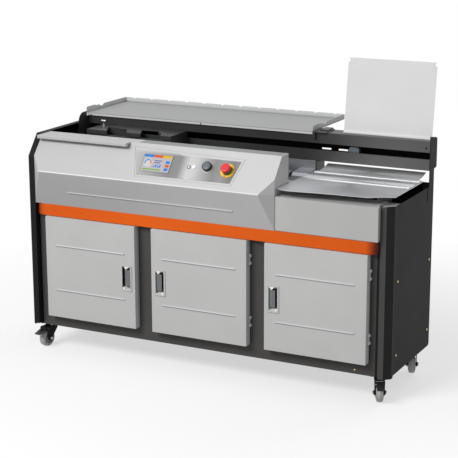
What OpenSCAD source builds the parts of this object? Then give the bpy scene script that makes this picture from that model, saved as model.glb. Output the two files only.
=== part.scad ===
// Floor-standing perfect binding machine: a dark sheet-metal cabinet on casters with
// three doors, a light grey console with the controls, a clamp carriage that runs along
// a pair of beams, the spine milling and gluing stations, a cover table, a long book
// tray and an upright cover rack.
// Millimetres, +Z up, X along the machine, Y from the front to the rear. The origin is
// on the floor, under the middle of the whole machine.

/* [Cabinet] */
// Overall length over the side panels
cabinet_length = 1600; // [1590:2:1640]
// Depth from the plane of the door stiles to the rear cover
cabinet_depth = 457; // [452:1:470]
// Height of the cabinet floor above the ground
floor_z = 105; // [103:1:108]
// Top of the right front panel and of the right side panel
side_top_z = 777; // [774:1:780]

/* [Doors] */
// Depth of the folded door pans
door_depth = 36.8; // [32:0.2:40]
// Width of the chamfer around each door front
door_chamfer = 9; // [6:0.5:11]
// How far the door handles pull out, used for the recess depth
handle_depth = 16; // [14:1:20]

/* [Console] */
// Height of the console top ledge above the ground
console_top_z = 924; // [918:1:930]
// How far the console nose stands in front of the door stiles
nose_reach = 73; // [68:1:76]
// Height of the console nose
nose_z = 787; // [780:1:794]

/* [Beams] */
// Front face of the two beams
beam_y = 403; // [401:1:405]
// Top of the upper beam, which carries the tray and the rack
beam_top_z = 957; // [955:1:960]

/* [Tray and rack] */
// Depth of the book tray
tray_depth = 340; // [300:2:360]
// Height of the cover rack above the upper beam
rack_height = 292; // [260:2:320]
// Backward lean of the cover rack
rack_lean = 7.8; // [5:0.2:9]

/* [Casters] */
// Caster wheel diameter
wheel_d = 75; // [70:1:76]
// Horizontal distance from swivel axis to wheel axle
caster_trail = 27; // [24:1:30]

/* [Hidden] */
$fn = 48;

// Sheet thicknesses
sheet = 2;
thin_sheet = 1.5;
heavy_sheet = 3;
// Running clearance of shafts in their bores
run_gap = 0.05;

half_l = cabinet_length / 2;
tray_front_y = beam_y - 8;
tray_back_y = tray_front_y + tray_depth;
// Everything is drawn from the plane of the door stiles and then moved back to here.
origin_y = -(tray_back_y - nose_reach) / 2;

// Top of the left side panel
left_top_z = 926;

// Doors: three equal pans between the end margins
door_margin_l = 79.5;
door_margin_r = 83;
door_gap = 78;
door_w = (cabinet_length - door_margin_l - door_margin_r - 2 * door_gap) / 3;
door_h = 433;
door_z = 159;
door_back = 1;
hinge_inset = 2;
hinge_y = -6.5;
hinge_pin_r = 3;
hinge_levels = [75, 330];
handle_x = 39;
handle_w = 50;
handle_h = 110;
handle_z = 372;
rib_levels = [120.5, 313];
rib_margin = 47;

// Console profile
ledge_front_y = 41;
ledge_back_y = 101;
band_top_z = 643;
band_bottom_z = 594;
band_y = -26.5;
console_x0 = -half_l + 27;
console_x1 = 328;
console_chamfer = 53;
slope_run = ledge_front_y + nose_reach;
slope_rise = console_top_z - nose_z;
slope_angle = atan2(slope_rise, slope_run);

// Beams
beam_x0 = -half_l + 29;
beam_x1 = half_l - 2;
beam_back_y = beam_y + 83;
upper_bottom_z = beam_top_z - 45;
lower_top_z = beam_top_z - 73;
lower_bottom_z = beam_top_z - 117;
rail_y = beam_y + 27;
rail_r = 10;
rail_top_z = beam_top_z - 22;
rail_low_z = beam_top_z - 95;

// Clamp carriage
car_x0 = -690;
car_x1 = -280;
car_y0 = 254;
car_y1 = beam_y - 3;
car_top_z = 915;
bearing_x = [-665, -575];
bearing_w = 50;
jaw_z0 = 816;
jaw_guide_x = [-664, -306];
jaw_guide_z = 878;
jaw_guide_r = 8;
jaw_open_y = 268;
jaw_t = 12;
fixed_jaw_y = 326;
t_screw_x = -665;
t_screw_y = 352;

// Stations under the carriage
deck_z = 600;
cutter_x = -120;
spine_y = 300;
cutter_z = 796;
tank_x0 = 20;
tank_x1 = 232;
tank_y0 = spine_y - 60;
tank_y1 = spine_y + 58;
roller_r = 38;
roller_x = [82, 170];
roller_z = 768;

// Cover table
table_z = 806;
table_x0 = 333;
table_x1 = 794;
table_front_y = -16;
table_back_y = 352;
table_step_x = 758;
table_step_y = 40;
nip_t = 3;
nip_x0 = 340;
nip_x1 = 786;
nip_front_y = 206;
nip_front_w = 65;

// Mains inlet at the rear
inlet_x = -640;
inlet_z = 190;

// Casters: position of each swivel axis and the direction of its trail
caster_pos = [[-768, 46], [745, 46], [-768, 414], [745, 414]];
caster_turn = [-6, 24, 12, 20];
caster_names_front = 2;
axle_z = wheel_d / 2;
axle_r = 6;
wheel_w = 30;
crown_z = 84;

// ---------------------------------------------------------------- helpers

// Moves a piece from the plane of the door stiles to its place about the origin.
module placed() {
  translate([0, origin_y, 0])
    children();
}

// Box between two opposite corners.
module box(a, b) {
  translate(a)
    cube(b - a);
}

// Profile drawn in Y and Z, extruded along X from x0.
module along_x(x0, width) {
  translate([x0, 0, 0])
    rotate([90, 0, 90])
      linear_extrude(width)
        children();
}

// Profile drawn in X and Z, extruded towards the rear from y0.
module along_y(y0, width) {
  translate([0, y0 + width, 0])
    rotate([90, 0, 0])
      linear_extrude(width)
        children();
}

// Rectangle with round corners, from its lower left corner.
module round_rect(w, h, r) {
  translate([r, 0])
    square([w - 2 * r, h]);
  translate([0, r])
    square([w, h - 2 * r]);
  for (x = [r, w - r], y = [r, h - r])
    translate([x, y])
      circle(r);
}

// Cylinder along X from x0.
module rod_x(x0, y, z, r, l) {
  translate([x0, y, z])
    rotate([0, 90, 0])
      cylinder(r = r, h = l);
}

// Cylinder along Y from y0.
module rod_y(x, y0, z, r, l) {
  translate([x, y0, z])
    rotate([-90, 0, 0])
      cylinder(r = r, h = l);
}

// Local frame of the console slope: X along the machine, -Y down the slope, Z out of it.
module on_slope(x, down) {
  translate([0, ledge_front_y, console_top_z])
    rotate([slope_angle, 0, 0])
      translate([x, -down, 0])
        children();
}

function door_x(i) = -half_l + door_margin_l + i * (door_w + door_gap);

// ---------------------------------------------------------------- cabinet

// One vertical stile: front plate with two side returns.
module stile(x0, x1) {
  box([x0, 0, floor_z + heavy_sheet], [x1, heavy_sheet, band_bottom_z]);
  for (x = [x0, x1 - heavy_sheet])
    box([x, heavy_sheet, floor_z + heavy_sheet], [x + heavy_sheet, 26, band_bottom_z]);
}

module cabinet_frame() {
  rail_h = door_z - 2 - floor_z;
  frame_x0 = -half_l + 29;
  frame_x1 = half_l - 57;
  color([0.2, 0.2, 0.2])
    placed() {
      box([-half_l + 2, 0, floor_z], [frame_x1, heavy_sheet, floor_z + heavy_sheet]);
      box([-half_l + 2, heavy_sheet, floor_z], [frame_x1, cabinet_depth - sheet, floor_z + heavy_sheet]);
      box([frame_x1, 36, floor_z], [half_l - 2, cabinet_depth - sheet, floor_z + heavy_sheet]);
      // Bottom front rail under the doors
      box([frame_x0, 0, floor_z + heavy_sheet], [frame_x1, heavy_sheet, floor_z + rail_h]);
      box([frame_x0, heavy_sheet, floor_z + rail_h - heavy_sheet], [frame_x1, 26, floor_z + rail_h]);
      // Stiles beside and between the doors
      stile(frame_x0, door_x(0) - 0.5);
      stile(door_x(0) + door_w + 0.5, door_x(1) - 0.5);
      stile(door_x(1) + door_w + 0.5, door_x(2) - 0.5);
      stile(door_x(2) + door_w + 0.5, frame_x1);
      // Top rail behind the coloured band
      box([frame_x0, 0, band_bottom_z], [frame_x1, heavy_sheet, band_top_z]);
      box([frame_x0, heavy_sheet, band_bottom_z], [frame_x1, 26, band_bottom_z + heavy_sheet]);
      // Angle posts in the two rear corners
      for (s = [-1, 1]) {
        x_out = s * (half_l - 2);
        x_in = s * (half_l - 42);
        box([min(x_out, x_in), cabinet_depth - 5, floor_z + heavy_sheet],
            [max(x_out, x_in), cabinet_depth - sheet, side_top_z]);
        box([min(x_out, x_out - s * 3), cabinet_depth - 45, floor_z + heavy_sheet],
            [max(x_out, x_out - s * 3), cabinet_depth - 5, side_top_z]);
      }
    }
}

// Left side: folded sheet with a front flange that follows the slanted corner.
module left_side_panel() {
  outline = [
    [-28.8, floor_z + 8], [-22, floor_z], [cabinet_depth, floor_z], [cabinet_depth, left_top_z],
    [38, left_top_z], [-28.8, 839]
  ];
  color([0.2, 0.2, 0.2])
    placed() {
      along_x(-half_l, sheet)
        polygon(outline);
      // Front flange, slanted flange and top flange
      box([-half_l + sheet, -28.8, floor_z + 8], [-half_l + 26.6, -28.8 + sheet, 839]);
      along_x(-half_l + sheet, 24.6)
        polygon([[-28.8, 839], [38, left_top_z], [38, left_top_z - 3.2], [-26.8, 838.3]]);
      box([-half_l + sheet, 38, left_top_z - sheet], [-half_l + 26.6, cabinet_depth, left_top_z]);
      // Return of the front flange to the stile
      box([-half_l + 24.6, -26.8, floor_z + 8], [-half_l + 26.6, -0.3, 635]);
    }
}

// Skin of the right side, folded around the chamfered corner and clipped at its lower rear.
module right_skin(x, top_z) {
  intersection() {
    box([x - 57, 0, floor_z], [x, cabinet_depth, top_z]);
    linear_extrude(top_z)
      polygon([[x - 57, 0.3], [x - 34, 0.3], [x, 34], [x, cabinet_depth], [x - 2, cabinet_depth],
               [x - 2, 34.8], [x - 34.8, 2.3], [x - 57, 2.3]]);
    along_x(x - 60, 62)
      polygon([[0, floor_z], [cabinet_depth - 8, floor_z], [cabinet_depth, floor_z + 8],
               [cabinet_depth, top_z], [0, top_z]]);
  }
}

// Right side: the skin with a tall rear upright.
module right_side_panel() {
  x = half_l;
  top_z = side_top_z - 1.5;
  color([0.2, 0.2, 0.2])
    placed() {
      difference() {
        right_skin(x, top_z);
        // Groove in front of the upright
        box([x - 5, 384, top_z - 60], [x + 1, 391, top_z + 1]);
      }
      // Upright that closes the right end of the beams
      along_x(x - sheet, sheet)
        polygon([[beam_y, top_z], [cabinet_depth, top_z], [cabinet_depth, lower_bottom_z],
                 [cabinet_depth + 6, lower_bottom_z], [beam_back_y, lower_bottom_z + 5],
                 [beam_back_y, beam_top_z], [beam_back_y - 10, beam_top_z + 7], [beam_y, beam_top_z + 20]]);
    }
}

// Rear wall with two fields of ventilation slots.
module rear_cover() {
  color([0.22, 0.22, 0.22])
    placed()
      difference() {
        box([-half_l + 2.2, cabinet_depth - sheet, floor_z + heavy_sheet + 0.2],
            [half_l - 2.2, cabinet_depth, side_top_z + 5]);
        for (x0 = [-560, 300], row = [0:7])
          translate([x0, cabinet_depth - 5, 330 + row * 22])
            rotate([-90, 0, 0])
              translate([0, -6, 0])
                linear_extrude(10)
                  round_rect(240, 6, 2.9);
        box([inlet_x - 22, cabinet_depth - 5, inlet_z - 14], [inlet_x + 22, cabinet_depth + 5, inlet_z + 14]);
      }
}

// Coloured band: a shallow folded strip with its ends turned back in a quarter round.
module front_band() {
  r = 24;
  color([0.85, 0.33, 0.05])
    placed()
      translate([0, 0, band_bottom_z + 0.3])
        linear_extrude(band_top_z - band_bottom_z - 0.6)
          difference() {
            union() {
              translate([-752 + r, band_y])
                square([1504 - 2 * r, r]);
              for (x = [-752 + r, 752 - r])
                translate([x, band_y + r])
                  circle(r);
              translate([-752, band_y + r])
                square([1504, -band_y - r - 0.3]);
            }
            union() {
              translate([-752 + r, band_y + sheet])
                square([1504 - 2 * r, 30]);
              for (x = [-752 + r, 752 - r])
                translate([x, band_y + r])
                  circle(r - sheet);
              translate([-750, band_y + r])
                square([1500, 30]);
              translate([-760, -0.3])
                square([1520, 30]);
            }
          }
}

// Side profile of the console, moved in by t.
function console_side(t) = [
  [ledge_back_y, band_top_z + t], [band_y + t, band_top_z + t], [-nose_reach + 1.1 * t, nose_z],
  [ledge_front_y + 0.4 * t, console_top_z - t], [ledge_back_y, console_top_z - t]
];

// Plan of the console with its two chamfered corners, moved in by t.
function console_plan(t) = [
  [console_x0 + t, ledge_back_y + 1], [console_x0 + t, band_y + 0.6 * t],
  [console_x0 + console_chamfer + 0.6 * t, -nose_reach - 1 + t],
  [console_x1 - console_chamfer - 0.6 * t, -nose_reach - 1 + t],
  [console_x1 - t, band_y + 0.6 * t], [console_x1 - t, ledge_back_y + 1]
];

module console_solid(t) {
  intersection() {
    along_x(console_x0 + t, console_x1 - console_x0 - 2 * t)
      polygon(console_side(t));
    translate([0, 0, band_top_z - 1])
      linear_extrude(console_top_z - band_top_z + 2)
        polygon(console_plan(t));
  }
}

module console_cover() {
  lip_x1 = -345;
  color([0.78, 0.78, 0.78])
    placed()
      difference() {
        union() {
          difference() {
            console_solid(0);
            console_solid(sheet);
            // Open back below the ledge
            box([console_x0 + 20, ledge_back_y - 3, band_top_z + 20],
                [console_x1 - 20, ledge_back_y + 2, console_top_z - 14]);
          }
          // Grip lip along the left part of the ledge
          along_x(console_x0, lip_x1 - console_x0)
            polygon([[ledge_front_y - 3, console_top_z - 0.01], [ledge_front_y - 3, console_top_z - 5],
                     [18, console_top_z - 8], [12, console_top_z - 15], [3, console_top_z - 15],
                     [0, console_top_z - 12], [0, console_top_z - 2], [2, console_top_z - 0.01]]);
          // Embossed rib across the lower face
          console_rib();
          // Raised frame around the control plate
          on_slope(0, 0)
            translate([0, 0, -0.4])
              linear_extrude(1.9)
                difference() {
                  polygon([[-322, -14], [182, -29], [154, -152], [-279, -152]]);
                  polygon([[-317, -19], [175, -33.5], [150, -148], [-275, -148]]);
                }
        }
        // Openings for the screen and the push buttons
        on_slope(-262, 126)
          translate([3, 3, -12])
            cube([126, 74, 20]);
        for (p = control_holes())
          on_slope(p[0], p[1])
            translate([0, 0, -12])
              cylinder(r = p[2], h = 20);
      }
}

// Control positions on the slope: x, distance down, hole radius.
function control_holes() = [[-27, 86, 9], [33, 82, 11.2], [122, 88, 11.2]];

// Rib on the lower face, drawn in the frame of that face.
module console_rib() {
  lean = atan2(nose_reach + band_y, nose_z - band_top_z);
  translate([-602, band_y, band_top_z])
    rotate([lean, 0, 0])
      translate([0, 0, 67])
        pressed_rib(0, 762);
}

// Light panel at the right of the console with its flat top shelf.
module right_front_panel() {
  x0 = console_x1 + 1;
  x1 = half_l - 48;
  color([0.72, 0.72, 0.72])
    placed() {
      box([x0, -24, band_top_z + 0.3], [x1, -24 + sheet, side_top_z]);
      box([x0, -24 + sheet, side_top_z - sheet], [x1, -0.2, side_top_z]);
      box([x0, -0.2, side_top_z - sheet], [half_l - 57, 94, side_top_z]);
      box([x1 - sheet, -24 + sheet, band_top_z + 0.3], [x1, -0.2, side_top_z - sheet]);
      box([x0, 92, side_top_z - 22], [half_l - 57, 94, side_top_z - sheet]);
      box([x0, -24 + sheet, band_top_z + 0.3], [x0 + sheet, 92, side_top_z - sheet]);
      // Bright liner in the corner column
      translate([0, 0, side_top_z - 9])
        linear_extrude(sheet)
          polygon([[half_l - 59, 30], [half_l - 34, 30], [half_l - 8, 56], [half_l - 8, 106], [half_l - 59, 106]]);
      box([half_l - 59, 30, side_top_z - 9], [half_l - 57, 94, side_top_z - sheet]);
    }
}

// Horizontal plate that carries the stations, with feet strips to the frame.
module machine_deck() {
  color([0.3, 0.3, 0.3])
    placed()
      difference() {
        union() {
          box([-half_l + 2.2, 26, deck_z], [half_l - 12, cabinet_depth - sheet, deck_z + heavy_sheet]);
          for (y = [26, cabinet_depth - sheet - heavy_sheet])
            box([-half_l + 60, y, deck_z - 25], [half_l - 60, y + heavy_sheet, deck_z]);
        }
        // Chip outlet under the cutter
        translate([cutter_x + 110, spine_y, deck_z - 5])
          cylinder(r = 32, h = 12);
        // Relief for the angle posts
        for (s = [-1, 1])
          translate([s * (half_l - 22) - 25, cabinet_depth - 46, deck_z - 1])
            cube([50, 50, 6]);
      }
}

// ---------------------------------------------------------------- doors

// Door pan outline in plan or elevation, moved in by t: size along the first axis is w.
// The inner one runs out through the open back.
function pan_outline(w, t) = [
  [t, t - door_back], [t, -door_depth + door_chamfer + 0.41 * t],
  [door_chamfer + 0.41 * t, -door_depth + t], [w - door_chamfer - 0.41 * t, -door_depth + t],
  [w - t, -door_depth + door_chamfer + 0.41 * t], [w - t, t - door_back]
];

module pan_solid(t) {
  intersection() {
    linear_extrude(door_h)
      polygon(pan_outline(door_w, t));
    along_x(0, door_w)
      polygon([for (p = pan_outline(door_h, t)) [p[1], p[0]]]);
  }
}

// Raised rib with round ends and two steps, standing out of a front face at y.
module pressed_rib(y, length) {
  translate([0, 0, -4])
    along_y(y - 1.4, 1.8)
      round_rect(length, 8, 3.9);
  translate([1.5, 0, -2.5])
    along_y(y - 2.4, 1.4)
      round_rect(length - 3, 5, 2.4);
}

// One door from its lower left corner. side = -1 puts the hinges at the left.
module door_pan(side) {
  hx = side < 0 ? hinge_inset : door_w - hinge_inset;
  hand_x = side < 0 ? door_w - handle_x : handle_x;
  difference() {
    union() {
      difference() {
        pan_solid(0);
        pan_solid(thin_sheet);
      }
      // Inner return flange around the back
      difference() {
        box([1, -door_back - thin_sheet, 1], [door_w - 1, -door_back, door_h - 1]);
        box([18, -10, 18], [door_w - 18, 5, door_h - 18]);
      }
      // Two embossed ribs across the front
      for (z = rib_levels)
        translate([rib_margin, 0, z])
          pressed_rib(-door_depth, door_w - 2 * rib_margin);
    }
    // Opening for the recessed handle
    box([hand_x - handle_w / 2 + 4, -door_depth - 5, handle_z - door_z - handle_h / 2 + 4],
        [hand_x + handle_w / 2 - 4, -door_depth + 5, handle_z - door_z + handle_h / 2 - 4]);
    // Room for the hinge knuckles
    for (z = hinge_levels)
      box([hx - 9, -15, z - 1], [hx + 9, 1, z + 43]);
  }
  for (z = hinge_levels)
    translate([hx, hinge_y, z])
      hinge_knuckle(side);
}

// Knuckle on the door between the two fixed lugs, with its leaf to the pan.
module hinge_knuckle(side) {
  difference() {
    union() {
      translate([0, 0, 11.5])
        cylinder(r = 5.5, h = 19);
      box([side < 0 ? -2 : -5, -14, 11.5], [side < 0 ? 5 : 2, -3, 30.5]);
      box([side < 0 ? -1.5 : -8, -16, -4], [side < 0 ? 8 : 1.5, -13, 46]);
    }
    translate([0, 0, -5])
      cylinder(r = hinge_pin_r + run_gap, h = 60);
  }
}

// Fixed lugs and pins of all the door hinges.
module door_hinges() {
  color([0.55, 0.55, 0.56])
    placed()
      for (i = [0:2], z = hinge_levels) {
        hx = door_x(i) + (i == 0 ? hinge_inset : door_w - hinge_inset);
        toward_stile = i == 0 ? -1 : 1;
        translate([hx, hinge_y, door_z + z]) {
          cylinder(r = hinge_pin_r, h = 42);
          for (lug = [0, 31])
            translate([0, 0, lug]) {
              cylinder(r = 5.5, h = 11);
              box([toward_stile < 0 ? -8 : 0, 0, 0], [toward_stile < 0 ? 0 : 8, -hinge_y, 11]);
            }
        }
      }
}

module door(i) {
  color([0.75, 0.75, 0.75])
    placed()
      translate([door_x(i), 0, door_z])
        door_pan(i == 0 ? -1 : 1);
}

module door_left() {
  door(0);
}

module door_middle() {
  door(1);
}

module door_right() {
  door(2);
}

// Centre of a handle on door i.
function handle_at(i) = [
  door_x(i) + (i == 0 ? door_w - handle_x : handle_x), -door_depth, handle_z
];

// Bright frame with a sunken tray; the paddle hinges on its outer side.
module handle_bezel(i) {
  w = handle_w;
  h = handle_h;
  color([0.8, 0.8, 0.82])
    placed()
      translate(handle_at(i))
        difference() {
          union() {
            translate([-w / 2, 0, -h / 2])
              along_y(-3, 3)
                round_rect(w, h, 4);
            box([-w / 2 + 4.5, -0.2, -h / 2 + 4.5], [w / 2 - 4.5, handle_depth, h / 2 - 4.5]);
          }
          // Recess with chamfered ends
          along_x(-w / 2 + 6, w - 12)
            polygon([[-4, -h / 2 + 5], [-3, -h / 2 + 6], [handle_depth - 2, -h / 2 + 18],
                     [handle_depth - 2, h / 2 - 18], [-3, h / 2 - 6], [-4, h / 2 - 5]]);
          for (z = [-h / 2, h / 2 - 14])
            paddle_bore(i, z);
        }
}

// Which side of the handle the paddle hinges on.
function paddle_side(i) = i == 0 ? 1 : -1;
paddle_axis_x = 14;
paddle_axis_y = 3.5;
paddle_pin_r = 2;

module paddle_bore(i, z) {
  translate([paddle_side(i) * paddle_axis_x, paddle_axis_y, z])
    cylinder(r = paddle_pin_r + run_gap, h = 14);
}

// Pull paddle with its pivot pins.
module handle_paddle(i) {
  s = paddle_side(i);
  reach = 22;
  blade_h = 70;
  color([0.7, 0.7, 0.72])
    placed()
      translate(handle_at(i)) {
        translate([s * paddle_axis_x, paddle_axis_y, -47])
          cylinder(r = paddle_pin_r, h = 94);
        translate([s * paddle_axis_x, paddle_axis_y, -blade_h / 2])
          cylinder(r = 3.4, h = blade_h);
        box([s > 0 ? paddle_axis_x - reach : -paddle_axis_x, 0.5, -blade_h / 2],
            [s > 0 ? paddle_axis_x : -paddle_axis_x + reach, 3, blade_h / 2]);
        box([s > 0 ? paddle_axis_x - reach : -paddle_axis_x + reach - 2.5, 3, -blade_h / 2],
            [s > 0 ? paddle_axis_x - reach + 2.5 : -paddle_axis_x + reach, 7, blade_h / 2]);
      }
}

module handle_bezel_left() {
  handle_bezel(0);
}

module handle_bezel_middle() {
  handle_bezel(1);
}

module handle_bezel_right() {
  handle_bezel(2);
}

module handle_paddle_left() {
  handle_paddle(0);
}

module handle_paddle_middle() {
  handle_paddle(1);
}

module handle_paddle_right() {
  handle_paddle(2);
}

// ---------------------------------------------------------------- casters

// Moves a piece drawn about one swivel axis, trailing towards -Y, to caster i.
module at_caster(i) {
  placed()
    translate([caster_pos[i][0], caster_pos[i][1], 0])
      rotate([0, 0, caster_turn[i]])
        children();
}

// Fixed plates with their bearing covers and king pins.
module caster_plates() {
  color([0.25, 0.25, 0.25])
    placed()
      for (p = caster_pos)
        translate([p[0], p[1], 0]) {
          box([-30, -34, floor_z - 4], [30, 34, floor_z]);
          translate([0, 0, crown_z + 4.3])
            cylinder(r1 = 21, r2 = 25, h = floor_z - crown_z - 8.3);
          translate([0, 0, crown_z - 4])
            cylinder(r = axle_r, h = 9);
          translate([0, 0, crown_z - 5])
            cylinder(r = 10, h = 4.7, $fn = 6);
        }
}

// Fork cheek outline in the plane of the wheel: first value forwards, second up.
module cheek_outline() {
  difference() {
    union() {
      polygon([[-22, crown_z + 4], [44, crown_z + 4], [48, crown_z - 2], [caster_trail + 13, axle_z],
               [caster_trail - 13, axle_z], [-22, crown_z - 10]]);
      translate([caster_trail, axle_z])
        circle(13);
    }
    translate([38, crown_z - 3])
      circle(3 + run_gap);
  }
}

module caster_fork(i) {
  inner = wheel_w / 2 + 1.5;
  color([0.22, 0.22, 0.22])
    at_caster(i) {
      difference() {
        union() {
          for (s = [-1, 1])
            translate([s > 0 ? inner : -inner - 3, 0, 0])
              rotate([90, 0, 90])
                linear_extrude(3)
                  mirror([1, 0])
                    cheek_outline();
          box([-inner, -30, crown_z], [inner, 22, crown_z + 4]);
          translate([0, 0, crown_z])
            cylinder(r = 22, h = 4);
        }
        translate([0, 0, crown_z - 1])
          cylinder(r = axle_r + run_gap, h = 6);
      }
      rod_x(-inner - 5, -caster_trail, axle_z, axle_r, 2 * inner + 10);
      for (s = [-1, 1])
        rod_x(s > 0 ? inner + 3 : -inner - 7, -caster_trail, axle_z, 9, 4);
    }
}

// Wheel with a rounded tread, drawn as a revolved profile.
module caster_wheel(i) {
  half_w = wheel_w / 2;
  r = wheel_d / 2;
  color([0.6, 0.6, 0.6])
    at_caster(i)
      translate([0, -caster_trail, axle_z])
        rotate([0, 90, 0])
          rotate_extrude()
            difference() {
              union() {
                translate([axle_r + run_gap, -half_w + 1])
                  square([r - 9 - axle_r - run_gap, 2 * half_w - 2]);
                translate([r - 12, -half_w + 3])
                  square([10, 2 * half_w - 6]);
                translate([r - 11.5, 0])
                  intersection() {
                    scale(11.5)
                      circle(1);
                    translate([0, -half_w + 1])
                      square([12, 2 * half_w - 2]);
                  }
              }
              // Hub hollows on both faces
              for (s = [-1, 1])
                translate([axle_r + 6, s > 0 ? half_w - 5 : -half_w])
                  square([8, 5]);
            }
}

// Foot brake of a front caster.
module brake_pedal(i) {
  inner = wheel_w / 2 + 1.5;
  color([0.12, 0.12, 0.12])
    at_caster(i) {
      rod_x(-inner - 4, -38, crown_z - 3, 3, 2 * inner + 8);
      rod_x(-inner + 0.5, -38, crown_z - 3, 5, 2 * inner - 1);
      along_x(-inner + 3, 2 * inner - 6)
        polygon([[-38, crown_z + 1.8], [-38, crown_z - 4], [-46, crown_z - 11], [-56, crown_z - 14],
                 [-60, crown_z - 11], [-70, crown_z - 14], [-92, crown_z - 18],
                 [-93, crown_z - 15], [-70, crown_z - 7]]);
    }
}

module fork_front_left() {
  caster_fork(0);
}

module fork_front_right() {
  caster_fork(1);
}

module fork_rear_left() {
  caster_fork(2);
}

module fork_rear_right() {
  caster_fork(3);
}

module wheel_front_left() {
  caster_wheel(0);
}

module wheel_front_right() {
  caster_wheel(1);
}

module wheel_rear_left() {
  caster_wheel(2);
}

module wheel_rear_right() {
  caster_wheel(3);
}

module brake_pedal_left() {
  brake_pedal(0);
}

module brake_pedal_right() {
  brake_pedal(1);
}

// ---------------------------------------------------------------- beams

// Left hook that carries the beams and stops the tray, and the tray's right bracket.
module tray_brackets() {
  x0 = beam_x0 - 2.4;
  arc_r = 40;
  hook_top = beam_top_z + 10;
  color([0.24, 0.24, 0.24])
    placed() {
      along_x(x0, 2.4)
        union() {
          difference() {
            translate([beam_y - 83, 921])
              square([83, hook_top - 921]);
            translate([beam_y - 83, hook_top - arc_r])
              difference() {
                square([arc_r, arc_r + 1]);
                translate([arc_r, 0])
                  circle(arc_r);
              }
            translate([beam_y - 18, beam_top_z - 10])
              square([30, 30]);
          }
          translate([beam_y - 83, 790])
            square([83, 131]);
          translate([beam_y, side_top_z + 6])
            square([54.5, beam_top_z - side_top_z - 6]);
          translate([beam_y + 54, 790])
            square([29, beam_top_z - 790]);
        }
      // Clip and shelf under the right end of the tray
      box([301, beam_y - 12, beam_top_z - 26], [312, beam_y, beam_top_z]);
      box([301, beam_y - 12, beam_top_z], [360, beam_back_y, beam_top_z + 3]);
      box([322, beam_y + 20, beam_top_z + 3], [356, beam_back_y - 4, beam_top_z + 9]);
    }
}

module upper_beam() {
  color([0.26, 0.26, 0.26])
    placed()
      difference() {
        along_x(beam_x0, beam_x1 - beam_x0)
          polygon([[beam_y, upper_bottom_z], [beam_y + 9, upper_bottom_z], [beam_y + 9, upper_bottom_z + 2],
                   [beam_y + 2, upper_bottom_z + 2], [beam_y + 2, beam_top_z - 2], [beam_back_y - 3, beam_top_z - 2],
                   [beam_back_y - 3, beam_top_z], [beam_y, beam_top_z]]);
        // Fixing hole near the right end
        rod_y(beam_x1 - 15, beam_y - 5, upper_bottom_z + 17, 4, 12);
      }
}

module lower_beam() {
  color([0.26, 0.26, 0.26])
    placed()
      along_x(beam_x0, beam_x1 - beam_x0)
        polygon([[beam_y, lower_bottom_z], [beam_back_y - 3, lower_bottom_z], [beam_back_y - 3, lower_bottom_z + 2],
                 [beam_y + 2, lower_bottom_z + 2], [beam_y + 2, lower_top_z - 2], [beam_y + 10, lower_top_z - 2],
                 [beam_y + 10, lower_top_z], [beam_y, lower_top_z]]);
}

// Plate that closes the rear of the beams, with two see-through slots.
module rail_backplate() {
  color([0.15, 0.15, 0.15])
    placed()
      difference() {
        box([beam_x0, beam_back_y - 3, lower_bottom_z], [beam_x1, beam_back_y, beam_top_z]);
        for (x = [305, 379])
          translate([x, 0, lower_top_z - 18])
            along_y(beam_back_y - 8, 12)
              round_rect(42, 18, 8);
      }
}

// Plate under the middle of the beams, down to the deck; its upper part reaches over
// the rear cover.
module beam_support() {
  color([0.22, 0.22, 0.22])
    placed()
      difference() {
        union() {
          box([312, beam_y, deck_z + heavy_sheet], [318, cabinet_depth - 6, lower_bottom_z]);
          box([312, cabinet_depth - 6, side_top_z + 8], [318, beam_back_y - 3, lower_bottom_z]);
          box([318, beam_y, deck_z + heavy_sheet], [340, cabinet_depth - 6, deck_z + heavy_sheet + 4]);
          box([318, beam_y + 4, lower_bottom_z - 4], [332, beam_back_y - 6, lower_bottom_z]);
        }
        for (z = [680, 740])
          rod_x(300, (beam_y + cabinet_depth) / 2, z, 9, 30);
      }
}

// Two ground rods the carriage runs on.
module carriage_rails() {
  color([0.75, 0.76, 0.78])
    placed() {
      for (z = [rail_top_z, rail_low_z])
        rod_x(beam_x0, rail_y, z, rail_r, beam_x1 - beam_x0);
    }
}

// End stop clamped on the lower rod, with a round head behind the gap of the beams.
module travel_stop() {
  x0 = 451;
  x1 = 494;
  color([0.3, 0.32, 0.36])
    placed()
      difference() {
        along_y(rail_y - 12, 24)
          union() {
            translate([x0, rail_low_z - 16])
              square([x1 - x0, upper_bottom_z - 18 - rail_low_z + 16]);
            translate([x0 + 12, upper_bottom_z - 18])
              square([x1 - x0 - 24, 12]);
            for (x = [x0 + 12, x1 - 12])
              translate([x, upper_bottom_z - 18])
                circle(12);
          }
        rod_x(x0 - 1, rail_y, rail_low_z, rail_r + 0.02, x1 - x0 + 2);
      }
}

// Long tray: pan with a rolled front lip, wavy side walls and a notched rear wall.
module book_tray() {
  x0 = -half_l + 19;
  x1 = 300;
  y0 = tray_front_y;
  y1 = tray_back_y;
  z0 = beam_top_z;
  wall = 22;
  color([0.78, 0.78, 0.78])
    placed()
      difference() {
        union() {
          box([x0, y0 + 4, z0], [x1, y1, z0 + sheet]);
          // Front lip
          box([x0, y0, z0 - 9], [x1, y0 + 2, z0 + 3]);
          box([x0, y0 + 2, z0 + 1], [x1, y0 + 4, z0 + 3]);
          // Rear wall
          box([x0, y1 - sheet, z0 + sheet], [x1, y1, z0 + wall]);
          for (x = [x0, x1 - sheet])
            along_x(x, sheet)
              tray_side(y0, y1, z0, wall);
        }
        // Relief notches along the rear wall's top edge
        for (k = [0:11])
          translate([x0 + 40 + k * 90, y1 - 5, z0 + wall - 3])
            cube([14, 10, 5]);
      }
}

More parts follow.
